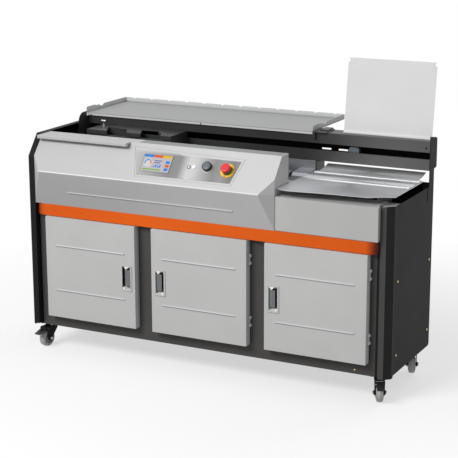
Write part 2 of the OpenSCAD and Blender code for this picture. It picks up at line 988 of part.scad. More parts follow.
// Side wall of the tray: its top edge dips behind the hand grip.
module tray_side(y0, y1, z0, wall) {
  difference() {
    union() {
      translate([y0 + 2, z0 - 9])
        square([beam_y - y0 - 2, wall + 3]);
      translate([y0 + 2, z0])
        square([y1 - y0 - 2, wall]);
      translate([y0 + 14, z0 + 14])
        square([56, 12]);
      translate([y0 + 14, z0 + 14])
        circle(12);
      translate([y0 + 70, z0 + 14])
        circle(12);
    }
    // Dip behind the grip
    translate([y0 + 128, z0 + 44])
      circle(30);
    translate([y0 - 1, z0 - 10])
      square([4, 40]);
  }
}

// Points of an arc about the origin, from angle a0 to a1 in n steps.
function arc_points(r, a0, a1, n) = [for (k = [0:n]) let (a = a0 + (a1 - a0) * k / n) [r * cos(a), r * sin(a)]];

// Side profile of the cover rack: a short foot, a bend and the leaning sheet.
module rack_profile(bend_r, length) {
  up = [sin(rack_lean), cos(rack_lean)];
  out = [cos(rack_lean), -sin(rack_lean)];
  translate([0, bend_r])
    polygon(concat(
      [[-6, -bend_r]],
      arc_points(bend_r, -90, -rack_lean, 8),
      [out * bend_r + up * length, out * (bend_r - sheet) + up * length],
      arc_points(bend_r - sheet, -rack_lean, -90, 8),
      [[-6, sheet - bend_r]]
    ));
}

// Upright sheet for the covers, curved forward at its foot.
module cover_rack() {
  w = 374;
  x0 = 414;
  foot_y = beam_y + 41;
  bend_r = 11;
  corner_r = 12;
  top_z = beam_top_z + bend_r + (rack_height - bend_r) * cos(rack_lean);
  color([0.85, 0.85, 0.85])
    placed()
      difference() {
        along_x(x0, w)
          translate([foot_y, beam_top_z])
            rack_profile(bend_r, rack_height);
        // Clipped top corners
        along_y(foot_y, 90)
          for (x = [x0, x0 + w])
            translate([x, top_z])
              rotate(45)
                square(1.2 * corner_r, center = true);
      }
}

// ---------------------------------------------------------------- carriage

// Clearance windows of the cover plate, open to its front edge.
module plate_windows() {
  polygon([[-590, car_y0 - 1], [-632, 338], [-529, 318], [-492, car_y0 - 1]]);
  polygon([[-425, car_y0 - 1], [-464, 338], [-390, 342], [-345, 290], [-330, car_y0 - 1]]);
}

module clamp_carriage() {
  arm_z0 = lower_top_z + 3;
  arm_z1 = upper_bottom_z - 3;
  block_z0 = rail_low_z - 15;
  block_z1 = rail_top_z + 15;
  color([0.24, 0.24, 0.24])
    placed()
      difference() {
        union() {
          // Cover plate with its front lip
          box([car_x0, car_y0, car_top_z - 3], [car_x1, car_y1, car_top_z]);
          box([car_x0, car_y0, car_top_z - 17], [car_x1, car_y0 + 3, car_top_z - 3]);
          // End plates, back plate and lower front bar
          for (x = [car_x0, car_x1 - 5])
            box([x, car_y0 + 3, jaw_z0 + 20], [x + 5, car_y1, car_top_z - 3]);
          box([car_x0 + 5, car_y1 - 6, jaw_z0 + 20], [car_x1 - 5, car_y1, car_top_z - 3]);
          box([car_x0, car_y0, car_top_z - 55], [car_x1, car_y0 + 6, car_top_z - 20]);
          // Fixed rear jaw
          box([car_x0 + 5, fixed_jaw_y, jaw_z0], [car_x1 - 5, fixed_jaw_y + jaw_t, car_top_z - 3]);
          // Arms through the gap between the beams, and bearing blocks on the rods
          for (x = bearing_x) {
            box([x - bearing_w / 2, car_y1, arm_z0], [x + bearing_w / 2, rail_y - 16, arm_z1]);
            box([x - bearing_w / 2, rail_y - 16, block_z0], [x + bearing_w / 2, rail_y + 16, block_z1]);
          }
          // Jaw guide rods
          for (x = jaw_guide_x)
            rod_y(x, car_y0 + 3, jaw_guide_z, jaw_guide_r, fixed_jaw_y - car_y0 - 3);
        }
        translate([0, 0, car_top_z - 17.01])
          linear_extrude(20)
            plate_windows();
        for (x = bearing_x, z = [rail_top_z, rail_low_z])
          rod_x(x - bearing_w, rail_y, z, rail_r + run_gap, 2 * bearing_w);
        translate([t_screw_x, t_screw_y, car_top_z - 10])
          cylinder(r = 4 + run_gap, h = 20);
      }
}

// Moving jaw on the two guide rods.
module front_jaw() {
  color([0.5, 0.5, 0.52])
    placed()
      difference() {
        union() {
          box([car_x0 + 8, jaw_open_y, jaw_z0], [car_x1 - 8, jaw_open_y + jaw_t, car_top_z - 22]);
          // Knurled lower edge: raised gripping strips
          for (z = [jaw_z0 + 4, jaw_z0 + 12])
            box([car_x0 + 16, jaw_open_y + jaw_t, z], [car_x1 - 16, jaw_open_y + jaw_t + 1, z + 4]);
        }
        for (x = jaw_guide_x)
          rod_y(x, jaw_open_y - 5, jaw_guide_z, jaw_guide_r + run_gap, 30);
      }
}

// Upright screw with a cross handle on the cover plate.
module jaw_t_screw() {
  color([0.85, 0.85, 0.86])
    placed()
      translate([t_screw_x, t_screw_y, 0]) {
        translate([0, 0, car_top_z - 9])
          cylinder(r = 4, h = 30);
        translate([0, 0, car_top_z + 0.3])
          cylinder(r = 7, h = 5);
        translate([0, 0, car_top_z - 9])
          cylinder(r = 6, h = 5.7);
        rod_x(-11, 0, car_top_z + 22, 3.6, 22);
      }
}

// ---------------------------------------------------------------- stations

// Milling cutter: a disc with teeth cut into its rim and a hub.
module cutter_disc() {
  teeth = 12;
  r = 62;
  color([0.7, 0.7, 0.72])
    placed()
      translate([cutter_x, spine_y, cutter_z])
        difference() {
          union() {
            cylinder(r = r, h = 8);
            translate([0, 0, 8])
              cylinder(r1 = 22, r2 = 18, h = 4);
          }
          for (k = [0:teeth - 1])
            rotate([0, 0, k * 360 / teeth])
              translate([r - 9, 0, -1])
                rotate([0, 0, -35])
                  cube([16, 7, 12]);
          translate([0, 0, -1])
            cylinder(r = 10 + run_gap, h = 8);
        }
}

// Motor with its shaft, and a dust hood around the cutter on three legs.
module cutter_motor() {
  hood_z = cutter_z - 18;
  color([0.35, 0.36, 0.38])
    placed()
      translate([cutter_x, spine_y, 0]) {
        translate([0, 0, deck_z + heavy_sheet]) {
          cylinder(r = 62, h = 150);
          for (k = [0:17])
            rotate([0, 0, k * 20])
              box([60, -2, 12], [68, 2, 138]);
          translate([0, 0, 150])
            cylinder(r = 30, h = 14);
          translate([0, 0, 164])
            cylinder(r = 10, h = cutter_z + 6 - deck_z - heavy_sheet - 164);
        }
        difference() {
          union() {
            translate([0, 0, hood_z])
              cylinder(r = 78, h = 26);
            for (k = [0:2])
              rotate([0, 0, 60 + k * 120])
                box([69.5, -7, deck_z + heavy_sheet], [77, 7, hood_z + 2]);
          }
          translate([0, 0, hood_z + 3])
            cylinder(r = 68, h = 30);
          translate([0, 0, hood_z - 2])
            cylinder(r = 31, h = 10);
          // Chip outlet towards the deck hole
          box([60, -24, hood_z + 3], [80, 24, hood_z + 30]);
        }
      }
}

// Heated tank, open at the top, with bores for the two roller shafts.
module glue_tank() {
  z1 = roller_z + 30;
  color([0.6, 0.6, 0.62])
    placed()
      difference() {
        union() {
          box([tank_x0, tank_y0, 700], [tank_x1, tank_y1, z1]);
          for (x = [tank_x0 + 20, tank_x1 - 32], y = [tank_y0 + 10, tank_y1 - 22])
            box([x, y, deck_z + heavy_sheet], [x + 12, y + 12, 700]);
          // Scraper bar between the rollers
          box([tank_x0 + 4, tank_y0 - 3, z1 - 18], [tank_x1 - 4, tank_y0, z1]);
        }
        box([tank_x0 + 5, tank_y0 + 6, 708], [tank_x1 - 5, tank_y1 - 6, z1 + 1]);
        for (x = roller_x)
          rod_y(x, tank_y0 - 10, roller_z, 10 + run_gap, tank_y1 - tank_y0 + 20);
      }
}

module glue_roller(i) {
  color([0.7, 0.7, 0.72])
    placed() {
      rod_y(roller_x[i], tank_y0 + 8, roller_z, roller_r, tank_y1 - tank_y0 - 16);
      rod_y(roller_x[i], tank_y0 - 6, roller_z, 10, tank_y1 - tank_y0 + 16);
      // Drive sprocket at the rear end
      translate([roller_x[i], tank_y1 + 2, roller_z])
        rotate([-90, 0, 0])
          difference() {
            cylinder(r = 24, h = 5);
            for (k = [0:15])
              rotate([0, 0, k * 22.5])
                translate([25, 0, -1])
                  cylinder(r = 3, h = 7, $fn = 16);
          }
    }
}

module glue_roller_front() {
  glue_roller(0);
}

module glue_roller_rear() {
  glue_roller(1);
}

// Light cover over the side gluing and nip drive, seen beside the console.
module nip_unit_cover() {
  x0 = 240;
  rear_x0 = 130;
  x1 = 311;
  back_y = cabinet_depth - 6;
  foot_z = deck_z + heavy_sheet;
  color([0.7, 0.7, 0.71])
    placed() {
      // Stepped front part, open below
      difference() {
        along_x(x0, x1 - x0)
          polygon([[250, foot_z], [beam_y + 1, foot_z], [beam_y + 1, 802], [334, 798], [322, 786],
                   [262, 780], [250, 770]]);
        along_x(x0 - 1, x1 - x0 - 1)
          polygon([[252, foot_z - 1], [beam_y + 2, foot_z - 1], [beam_y + 2, 800], [334.5, 796.1], [322.7, 784.2],
                   [262.8, 778], [252, 769]]);
      }
      // Tall rear part under the lower beam
      difference() {
        box([rear_x0, beam_y + 1, foot_z], [x1, back_y, lower_bottom_z - 2]);
        box([rear_x0 + 2, beam_y + 3, foot_z - 1], [x1 - 2, back_y + 1, lower_bottom_z - 4]);
      }
    }
}

// ---------------------------------------------------------------- cover table

// Outline of the table: round front left corner, step at the front right.
module table_outline() {
  r = 34;
  translate([table_x0, table_front_y + r])
    square([table_step_x - table_x0, table_back_y - table_front_y - r]);
  translate([table_x0 + r, table_front_y])
    square([table_step_x - table_x0 - r, r]);
  translate([table_x0 + r, table_front_y + r])
    circle(r);
  translate([table_step_x - 1, table_step_y])
    square([table_x1 - table_step_x + 1, table_back_y - table_step_y]);
}

// Polished table with a front flange and legs to the deck.
module table_plate() {
  r = 34;
  leg_top = table_z + 0.1;
  color([0.75, 0.75, 0.76])
    placed() {
      difference() {
        translate([0, 0, table_z])
          linear_extrude(sheet)
            table_outline();
        for (p = [[452, 136], [647, 131]])
          translate([p[0], p[1], table_z - 5])
            cylinder(r = 4, h = 12);
        // Spine slot between the nip plates
        box([nip_x0 + 4, spine_y - 3, table_z - 2], [nip_x1 - 8, spine_y + 3, table_z + 5]);
      }
      box([table_x0 + r, table_front_y, table_z - 8], [table_step_x, table_front_y + sheet, leg_top]);
      for (x = [420, 690])
        box([x, 120, deck_z + heavy_sheet], [x + 3, 280, leg_top]);
    }
}

// Curved rear guide behind the table, rising under the lower beam.
module rear_ramp() {
  x0 = 345;
  x1 = 768;
  y0 = table_back_y;
  r = 386;
  sweep = 15.6;
  color([0.72, 0.72, 0.74])
    placed()
      along_x(x0, x1 - x0)
        translate([y0, table_z + r])
          polygon(concat(arc_points(r, -90, -90 + sweep, 10), arc_points(r - sheet, -90 + sweep, -90, 10)));
}

// Plates that press the cover against the spine: the front one moves, the rear one is fixed.
module nip_plate_front() {
  z0 = table_z + sheet + 0.3;
  color([0.82, 0.82, 0.83])
    placed()
      difference() {
        box([nip_x0, nip_front_y, z0], [nip_x1, nip_front_y + nip_front_w, z0 + nip_t]);
        for (p = [[677, 240], [372, 245]])
          translate([p[0], p[1], z0 - 1])
            cylinder(r = 4, h = 8);
      }
}

module nip_plate_rear() {
  z0 = table_z + sheet;
  color([0.82, 0.82, 0.83])
    placed()
      box([nip_x0, fixed_jaw_y, z0], [nip_x1, table_back_y - 2, z0 + nip_t]);
}

// ---------------------------------------------------------------- controls

// Metallic panel on the slope.
module control_plate() {
  color([0.7, 0.7, 0.7])
    placed()
      difference() {
        on_slope(0, 0)
          translate([0, 0, 0.05])
            linear_extrude(1)
              polygon([[-311, -27], [-103, -34], [-98, -40], [168, -43], [146, -142], [-270, -143]]);
        on_slope(-262, 126)
          translate([3, 3, -12])
            cube([126, 74, 20]);
        for (p = control_holes())
          on_slope(p[0], p[1])
            translate([0, 0, -12])
              cylinder(r = p[2], h = 20);
      }
}

// Touch screen: frame and display block in the opening.
module touch_screen() {
  color([0.15, 0.16, 0.18])
    placed()
      on_slope(-262, 126) {
        translate([3.4, 3.4, -20])
          cube([125.2, 73.2, 21.05]);
        translate([0, 0, 1.05])
          linear_extrude(2.5)
            difference() {
              round_rect(132, 80, 3);
              translate([3.2, 3.2])
                square([125.6, 73.6]);
            }
        translate([3.2, 3.2, 1.05])
          cube([125.6, 73.6, 1]);
      }
}

// Yellow guard disc of the emergency stop with its threaded body.
module estop_collar() {
  color([0.9, 0.75, 0.05])
    placed()
      on_slope(122, 88)
        difference() {
          union() {
            translate([0, 0, 1.05])
              cylinder(r = 30, h = 2.5);
            translate([0, 0, -25])
              cylinder(r = 11, h = 28);
            translate([0, 0, 3.5])
              cylinder(r = 15, h = 6);
            // Locking teeth under the head
            for (k = [0:7])
              rotate([0, 0, k * 45])
                box([13, -2.2, 3.5], [19.5, 2.2, 10]);
          }
          translate([0, 0, -20])
            cylinder(r = 6 + run_gap, h = 48);
        }
}

// Red mushroom head on its stem.
module estop_head() {
  color([0.85, 0.1, 0.08])
    placed()
      on_slope(122, 88) {
        translate([0, 0, -8])
          cylinder(r = 6, h = 26);
        translate([0, 0, 17.5])
          rotate_extrude()
            difference() {
              union() {
                square([20, 8]);
                translate([14, 8])
                  circle(6);
                square([14, 14]);
              }
              translate([-20, -20])
                square([20, 60]);
              translate([-1, -20])
                square([30, 20]);
            }
      }
}

module start_button() {
  color([0.15, 0.16, 0.18])
    placed()
      on_slope(33, 82) {
        translate([0, 0, -20])
          cylinder(r = 11.1, h = 28);
        translate([0, 0, 8])
          cylinder(r = 20, h = 8);
        translate([0, 0, 16])
          cylinder(r1 = 20, r2 = 18, h = 2);
      }
}

module power_button() {
  color([0.9, 0.9, 0.9])
    placed()
      on_slope(-27, 86) {
        translate([0, 0, -10])
          cylinder(r = 8.9, h = 12);
        translate([0, 0, 2])
          cylinder(r1 = 8.9, r2 = 7.5, h = 3);
      }
}

module electrical_box() {
  color([0.6, 0.6, 0.58])
    placed() {
      box([430, cabinet_depth - 110, 150], [700, cabinet_depth - 20, 470]);
      box([436, cabinet_depth - 113, 156], [694, cabinet_depth - 110, 464]);
      for (z = [190, 430])
        box([500, cabinet_depth - 20, z], [630, cabinet_depth - sheet, z + 20]);
    }
}

// Mains inlet through the rear cover.
module power_inlet() {
  color([0.1, 0.1, 0.1])
    placed()
      translate([inlet_x, cabinet_depth, inlet_z])
        difference() {
          union() {
            translate([-32, 0, -20])
              along_y(0, 3)
                round_rect(64, 40, 4);
            box([-21.5, -30, -13.5], [21.5, 0, 13.5]);
          }
          box([-17, -22, -9], [17, 4, 9]);
        }
}

// Screws on the side panels.
module panel_screws() {
  color([0.7, 0.62, 0.5])
    placed()
      for (s = [-1, 1], y = [70, 429], z = [473.5, 180])
        translate([s > 0 ? half_l : -half_l - 2, y, z])
          rotate([0, 90, 0])
            cylinder(r = 4.5, h = 2);
}

cabinet_frame();
left_side_panel();
right_side_panel();
rear_cover();
front_band();
console_cover();
right_front_panel();
machine_deck();
door_hinges();
caster_plates();
tray_brackets();
upper_beam();
lower_beam();
rail_backplate();
beam_support();
carriage_rails();
travel_stop();
book_tray();
cover_rack();
control_plate();
touch_screen();
estop_collar();
table_plate();
rear_ramp();
glue_tank();
nip_unit_cover();
cutter_motor();
electrical_box();
power_inlet();
panel_screws();
door_left();
door_middle();
door_right();
handle_bezel_left();
handle_bezel_middle();
handle_bezel_right();
handle_paddle_left();
handle_paddle_middle();
handle_paddle_right();
fork_front_left();
fork_front_right();
fork_rear_left();
fork_rear_right();
wheel_front_left();
wheel_front_right();
wheel_rear_left();
wheel_rear_right();
brake_pedal_left();
brake_pedal_right();
clamp_carriage();
front_jaw();
jaw_t_screw();
cutter_disc();
glue_roller_front();
glue_roller_rear();
nip_plate_front();
nip_plate_rear();
estop_head();
start_button();
power_button();
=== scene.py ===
"""Looks of a floor-standing perfect binding machine.

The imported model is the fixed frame. Each sub-assembly below dresses its own solids and adds
the small pieces that the solids leave out: screws, hubs, lamps and the picture on the screen.
X runs along the machine, Y to the rear and Z up. Sizes are in millimetres, measured from the
plane of the door stiles, and become metres in `at()` and `Piece`. A head is a radius and a
height. A ring is a radius, a height and a number of flats, 0 for a round one.
"""

import logging
import math
from collections.abc import Iterable, Mapping, Sequence
from dataclasses import dataclass, field
from enum import Enum
from functools import cache

import bmesh
import bpy
from mathutils import Matrix, Vector


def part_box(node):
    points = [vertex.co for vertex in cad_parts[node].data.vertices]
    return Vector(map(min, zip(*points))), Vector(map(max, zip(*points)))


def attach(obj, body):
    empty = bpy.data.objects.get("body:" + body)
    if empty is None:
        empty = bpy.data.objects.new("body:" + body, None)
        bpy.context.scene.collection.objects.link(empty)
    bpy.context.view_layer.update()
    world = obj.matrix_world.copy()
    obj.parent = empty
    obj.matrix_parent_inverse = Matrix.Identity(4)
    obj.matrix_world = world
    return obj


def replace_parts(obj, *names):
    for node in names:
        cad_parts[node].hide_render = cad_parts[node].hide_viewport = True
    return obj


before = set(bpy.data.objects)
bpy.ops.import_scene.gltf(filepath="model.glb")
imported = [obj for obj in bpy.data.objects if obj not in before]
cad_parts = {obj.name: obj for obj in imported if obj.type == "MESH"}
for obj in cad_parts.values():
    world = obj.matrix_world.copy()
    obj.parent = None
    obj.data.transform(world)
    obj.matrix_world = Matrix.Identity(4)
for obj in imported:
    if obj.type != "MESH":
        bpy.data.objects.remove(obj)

LOG = logging.getLogger("binding_machine")
MM = 0.001
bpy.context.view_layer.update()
STILE_PLANE_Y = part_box("cabinet_frame")[0].y

Colour = tuple[float, float, float, float]
Point = tuple[float, float]
Spot = tuple[float, float, float]
Ring = tuple[float, float, int]
Stops = tuple[tuple[float, str], ...]
Tree = bpy.types.NodeTree
Socket = bpy.types.NodeSocket

POLYMER_IOR = 1.5
BANDS_PER_WAVE = 20  # the wave texture draws its bands this much finer than its scale
MIX_A, MIX_B, MIX_OUT = 6, 7, 2  # colour sockets of a mix node
SMOOTH_DEGREES = 35.0  # an edge that turns less is shaded as one skin
ROUND_DEGREES = 32.0  # an edge that turns more is rounded
ROUND_SEGMENTS = 2
WELD_MM = 0.002
FLAT_DEGREES = 0.5
SOCKET_HEAD = (  # shares of a head's radius and height, with the flats of the hexagon socket
    (1.0, 0.0, 0),
    (1.0, 0.35, 0),
    (0.88, 0.8, 0),
    (0.7, 1.0, 0),
    (0.5, 1.0, 6),
    (0.5, 0.3, 6),
)


def turned(degrees: float, axis: str) -> Matrix:
    """Rotation by degrees about an axis."""
    return Matrix.Rotation(math.radians(degrees), 4, axis)


class Facing(Enum):
    """Which way a piece's own Z axis points, as turns about X and Y in degrees."""

    UP = (0.0, 0.0)
    DOWN = (180.0, 0.0)
    FRONT = (90.0, 0.0)
    REAR = (-90.0, 0.0)
    RIGHT = (0.0, 90.0)
    LEFT = (0.0, -90.0)

    def turn(self) -> Matrix:
        """Rotation that brings Z to this direction."""
        about_x, about_y = self.value
        return turned(about_x, "X") @ turned(about_y, "Y")


class Grain(Enum):
    """Direction of the polishing lines on a metal: 1 where an axis crosses them."""

    X = (0, 1, 1)
    Y = (1, 0, 1)
    Z = (1, 1, 0)


class Edge(Enum):
    """Width in millimetres of the rounding along the edges of a solid."""

    SHARP = 0.0
    CUT = 0.3
    PRESSED = 0.4
    FOLDED = 0.5
    PANEL = 0.6
    CASE = 0.8


class Body(Enum):
    """Bodies of the machine that carry added pieces."""

    BASE = "base"
    CARRIAGE = "carriage"
    CUTTER = "cutter_body"
    NIP_FRONT = "nip_front_body"
    START = "start_body"


def at(x: float, y: float, z: float, facing: Facing = Facing.UP) -> Matrix:
    """Place in the row frame of a point given from the plane of the door stiles and the ground."""
    return Matrix.Translation((x * MM, STILE_PLANE_Y + y * MM, z * MM)) @ facing.turn()


def shifted(place: Matrix, x: float, y: float, z: float = 0.0) -> Matrix:
    """The place moved by millimetres along its own axes."""
    return place @ Matrix.Translation((x * MM, y * MM, z * MM))


def box_outline(x0: float, y0: float, x1: float, y1: float) -> list[Point]:
    """Corners of a rectangle."""
    return [(x0, y0), (x1, y0), (x1, y1), (x0, y1)]


def arc(x: float, y: float, radius: float, start: float, end: float, steps: int) -> list[Point]:
    """Points of a circle from one angle in degrees to another, both ends with them."""
    turns = [math.radians(start + (end - start) * k / steps) for k in range(steps + 1)]
    return [(x + radius * math.cos(a), y + radius * math.sin(a)) for a in turns]


def linear(hex_colour: str) -> Colour:
    """Linear RGBA of an sRGB colour written as #rrggbb."""
    levels = [int(hex_colour[i : i + 2], 16) / 255 for i in (1, 3, 5)]
    return (*(v / 12.92 if v <= 0.04045 else ((v + 0.055) / 1.055) ** 2.4 for v in levels), 1.0)


def add_node(
    tree: Tree,
    kind: str,
    settings: Mapping[str | int, object] | None = None,
    links: Mapping[str | int, Socket] | None = None,
) -> bpy.types.Node:
    """Adds a node with its settings and links.

    Args:
        tree: The node tree that gets the node.
        kind: The node's type name.
        settings: Values by input socket name or number, or else by property name.
        links: Output sockets to join, by input socket name or number.

    Returns:
        The new node.
    """
    node = tree.nodes.new(kind)
    for name, value in (settings or {}).items():
        if isinstance(name, int) or name in node.inputs:
            node.inputs[name].default_value = value
        else:
            setattr(node, name, value)
    for name, socket in (links or {}).items():
        tree.links.new(socket, node.inputs[name])
    return node


def fresh_material(name: str) -> tuple[bpy.types.Material, Tree, Socket]:
    """A new material with object coordinates as its only node.

    Args:
        name: The material's name.

    Returns:
        The material, its node tree and the coordinates in metres.
    """
    material = bpy.data.materials.new(name)
    material.use_nodes = True
    tree = material.node_tree
    tree.nodes.clear()
    return material, tree, add_node(tree, "ShaderNodeTexCoord").outputs["Object"]


def ramp(node: bpy.types.Node, stops: Sequence[tuple[float, str]]) -> Socket:
    """Fills a colour ramp.

    Args:
        node: The ramp node.
        stops: Position and sRGB colour of each stop.

    Returns:
        The ramp's colour output.
    """
    elements = node.color_ramp.elements
    while len(elements) < len(stops):
        elements.new(0.5)
    for element, (position, colour) in zip(elements, stops):
        element.position = position
        element.color = linear(colour)
    return node.outputs["Color"]


def share_along(tree: Tree, place: Socket, axis: str, limits_mm: Point) -> Socket:
    """How far each spot lies between two limits along an axis.

    Args:
        tree: The node tree that gets the nodes.
        place: Coordinates in metres.
        axis: X, Y or Z.
        limits_mm: Where the share is 0 and where it is 1.

    Returns:
        The share.
    """
    low, high = (limit * MM for limit in limits_mm)
    parts = add_node(tree, "ShaderNodeSeparateXYZ", {}, {"Vector": place})
    limits = {"From Min": low, "From Max": high}
    return add_node(tree, "ShaderNodeMapRange", limits, {"Value": parts.outputs[axis]}).outputs["Result"]


@dataclass(frozen=True)
class PaintedShading:
    """Painted light and shade: a slow change of a coat's tone along one axis of the machine, in place of how
    the lamps fall on it.
    """

    axis: str
    span_mm: Point
    stops: Stops

    def over(self, tree: Tree, place: Socket, tone: Socket) -> Socket:
        """Multiplies a tone by this painted light and shade.

        Args:
            tree: The node tree that gets the nodes.
            place: Coordinates in metres.
            tone: The coat's own colour.

        Returns:
            The changed colour.
        """
        along = share_along(tree, place, self.axis, self.span_mm)
        tint = ramp(add_node(tree, "ShaderNodeValToRGB", {}, {"Fac": along}), self.stops)
        multiply = {"data_type": "RGBA", "blend_type": "MULTIPLY", "Factor": 1.0}
        return add_node(tree, "ShaderNodeMix", multiply, {MIX_A: tone, MIX_B: tint}).outputs[MIX_OUT]


@dataclass(frozen=True)
class PowderCoat:
    """Polyester powder baked on sheet steel.

    The eye sees an even satin skin with a faint orange peel and hardly any change of tone.
    """

    name: str
    colour: str
    mottle: str
    roughness: float = 0.5
    gloss_level: float = 0.4
    peel_mm: float = 2.5  # real peel is near 1 mm, drawn coarser so that it shows
    peel_depth_mm: float = 0.02
    peel_strength: float = 0.35
    mottle_mm: float = 160.0
    sheen_spread: float = 0.05
    # painted light and shade laid over the coat's own colour
    painted_shading: tuple[PaintedShading, ...] = ()

    def make(self) -> bpy.types.Material:
        """Builds the material.

        Returns:
            The material.
        """
        material, tree, place = fresh_material(self.name)
        clouds = {"Scale": 1 / (self.mottle_mm * MM), "Detail": 3.0}
        broad = add_node(tree, "ShaderNodeTexNoise", clouds, {"Vector": place}).outputs["Fac"]
        tones = [(0.3, self.mottle), (0.7, self.colour)]
        tone = ramp(add_node(tree, "ShaderNodeValToRGB", {}, {"Fac": broad}), tones)
        # painted light and shade multiplied into the tone
        for shading in self.painted_shading:
            tone = shading.over(tree, place, tone)
        dimples = {"Scale": 1 / (self.peel_mm * MM), "Detail": 1.0}
        peel = add_node(tree, "ShaderNodeTexNoise", dimples, {"Vector": place}).outputs["Fac"]
        relief = {"Strength": self.peel_strength, "Distance": self.peel_depth_mm * MM}
        bump = add_node(tree, "ShaderNodeBump", relief, {"Height": peel})
        spread = {"To Min": self.roughness - self.sheen_spread, "To Max": self.roughness + self.sheen_spread}
        sheen = add_node(tree, "ShaderNodeMapRange", spread, {"Value": broad})
        shader = add_node(
            tree,
            "ShaderNodeBsdfPrincipled",
            {"Specular IOR Level": self.gloss_level, "IOR": POLYMER_IOR},
            {"Base Color": tone, "Normal": bump.outputs["Normal"], "Roughness": sheen.outputs["Result"]},
        )
        add_node(tree, "ShaderNodeOutputMaterial", {}, {"Surface": shader.outputs["BSDF"]})
        return material


@dataclass(frozen=True)
class GroundSteel:
    """Steel or aluminium with fine lines from grinding or brushing.

    The eye sees a metal that is smooth along the lines and streaky across them.
    """

    name: str
    dark: str
    light: str
    grain: Grain = Grain.X
    roughness: float = 0.3
    line_mm: float = 1.4  # real grit lines are near 0.1 mm, drawn coarser so that they show
    line_length_mm: float = 120.0
    line_depth_mm: float = 0.01
    line_strength: float = 0.12
    polish_spread: Point = (0.06, 0.08)
    anisotropy: float = 0.4

    def make(self) -> bpy.types.Material:
        """Builds the material.

        Returns:
            The material.
        """
        material, tree, place = fresh_material(self.name)
        across = 1 / (self.line_mm * MM)
        along = 1 / (self.line_length_mm * MM)
        stretch = {"Scale": [across if crosses else along for crosses in self.grain.value]}
        lines_at = add_node(tree, "ShaderNodeMapping", stretch, {"Vector": place}).outputs["Vector"]
        lines = add_node(
            tree, "ShaderNodeTexNoise", {"Scale": 1.0, "Detail": 4.0}, {"Vector": lines_at}
        ).outputs["Fac"]
        tones = [(0.25, self.dark), (0.75, self.light)]
        tone = ramp(add_node(tree, "ShaderNodeValToRGB", {}, {"Fac": lines}), tones)
        relief = {"Strength": self.line_strength, "Distance": self.line_depth_mm * MM}
        bump = add_node(tree, "ShaderNodeBump", relief, {"Height": lines})
        less, more = self.polish_spread
        spread = {"To Min": self.roughness - less, "To Max": self.roughness + more}
        polish = add_node(tree, "ShaderNodeMapRange", spread, {"Value": lines})
        shader = add_node(
            tree,
            "ShaderNodeBsdfPrincipled",
            {"Metallic": 1.0, "Anisotropic": self.anisotropy},
            {"Base Color": tone, "Normal": bump.outputs["Normal"], "Roughness": polish.outputs["Result"]},
        )
        add_node(tree, "ShaderNodeOutputMaterial", {}, {"Surface": shader.outputs["BSDF"]})
        return material


@dataclass(frozen=True)
class MouldedPlastic:
    """Injection-moulded ABS, nylon, polycarbonate or polyurethane.

    The eye sees an even colour with a fine spark-eroded texture and soft highlights.
    """

    name: str
    colour: str
    shade: str
    roughness: float = 0.4
    texture_mm: float = 1.2  # mould texture is near 0.1 mm, drawn coarser so that it shows
    subsurface: float = 0.0
    texture_depth_mm: float = 0.02
    texture_strength: float = 0.2
    cloud_mm: float = 25.0

    def make(self) -> bpy.types.Material:
        """Builds the material.

        Returns:
            The material.
        """
        material, tree, place = fresh_material(self.name)
        pits = {"Scale": 1 / (self.texture_mm * MM)}
        grit = add_node(tree, "ShaderNodeTexVoronoi", pits, {"Vector": place}).outputs["Distance"]
        clouds = {"Scale": 1 / (self.cloud_mm * MM), "Detail": 2.0}
        cloud = add_node(tree, "ShaderNodeTexNoise", clouds, {"Vector": place}).outputs["Fac"]
        tones = [(0.3, self.shade), (0.7, self.colour)]
        tone = ramp(add_node(tree, "ShaderNodeValToRGB", {}, {"Fac": cloud}), tones)
        relief = {"Strength": self.texture_strength, "Distance": self.texture_depth_mm * MM}
        bump = add_node(tree, "ShaderNodeBump", relief, {"Height": grit})
        shader = add_node(
            tree,
            "ShaderNodeBsdfPrincipled",
            {"IOR": POLYMER_IOR, "Roughness": self.roughness, "Subsurface Weight": self.subsurface},
            {"Base Color": tone, "Normal": bump.outputs["Normal"]},
        )
        add_node(tree, "ShaderNodeOutputMaterial", {}, {"Surface": shader.outputs["BSDF"]})
        return material


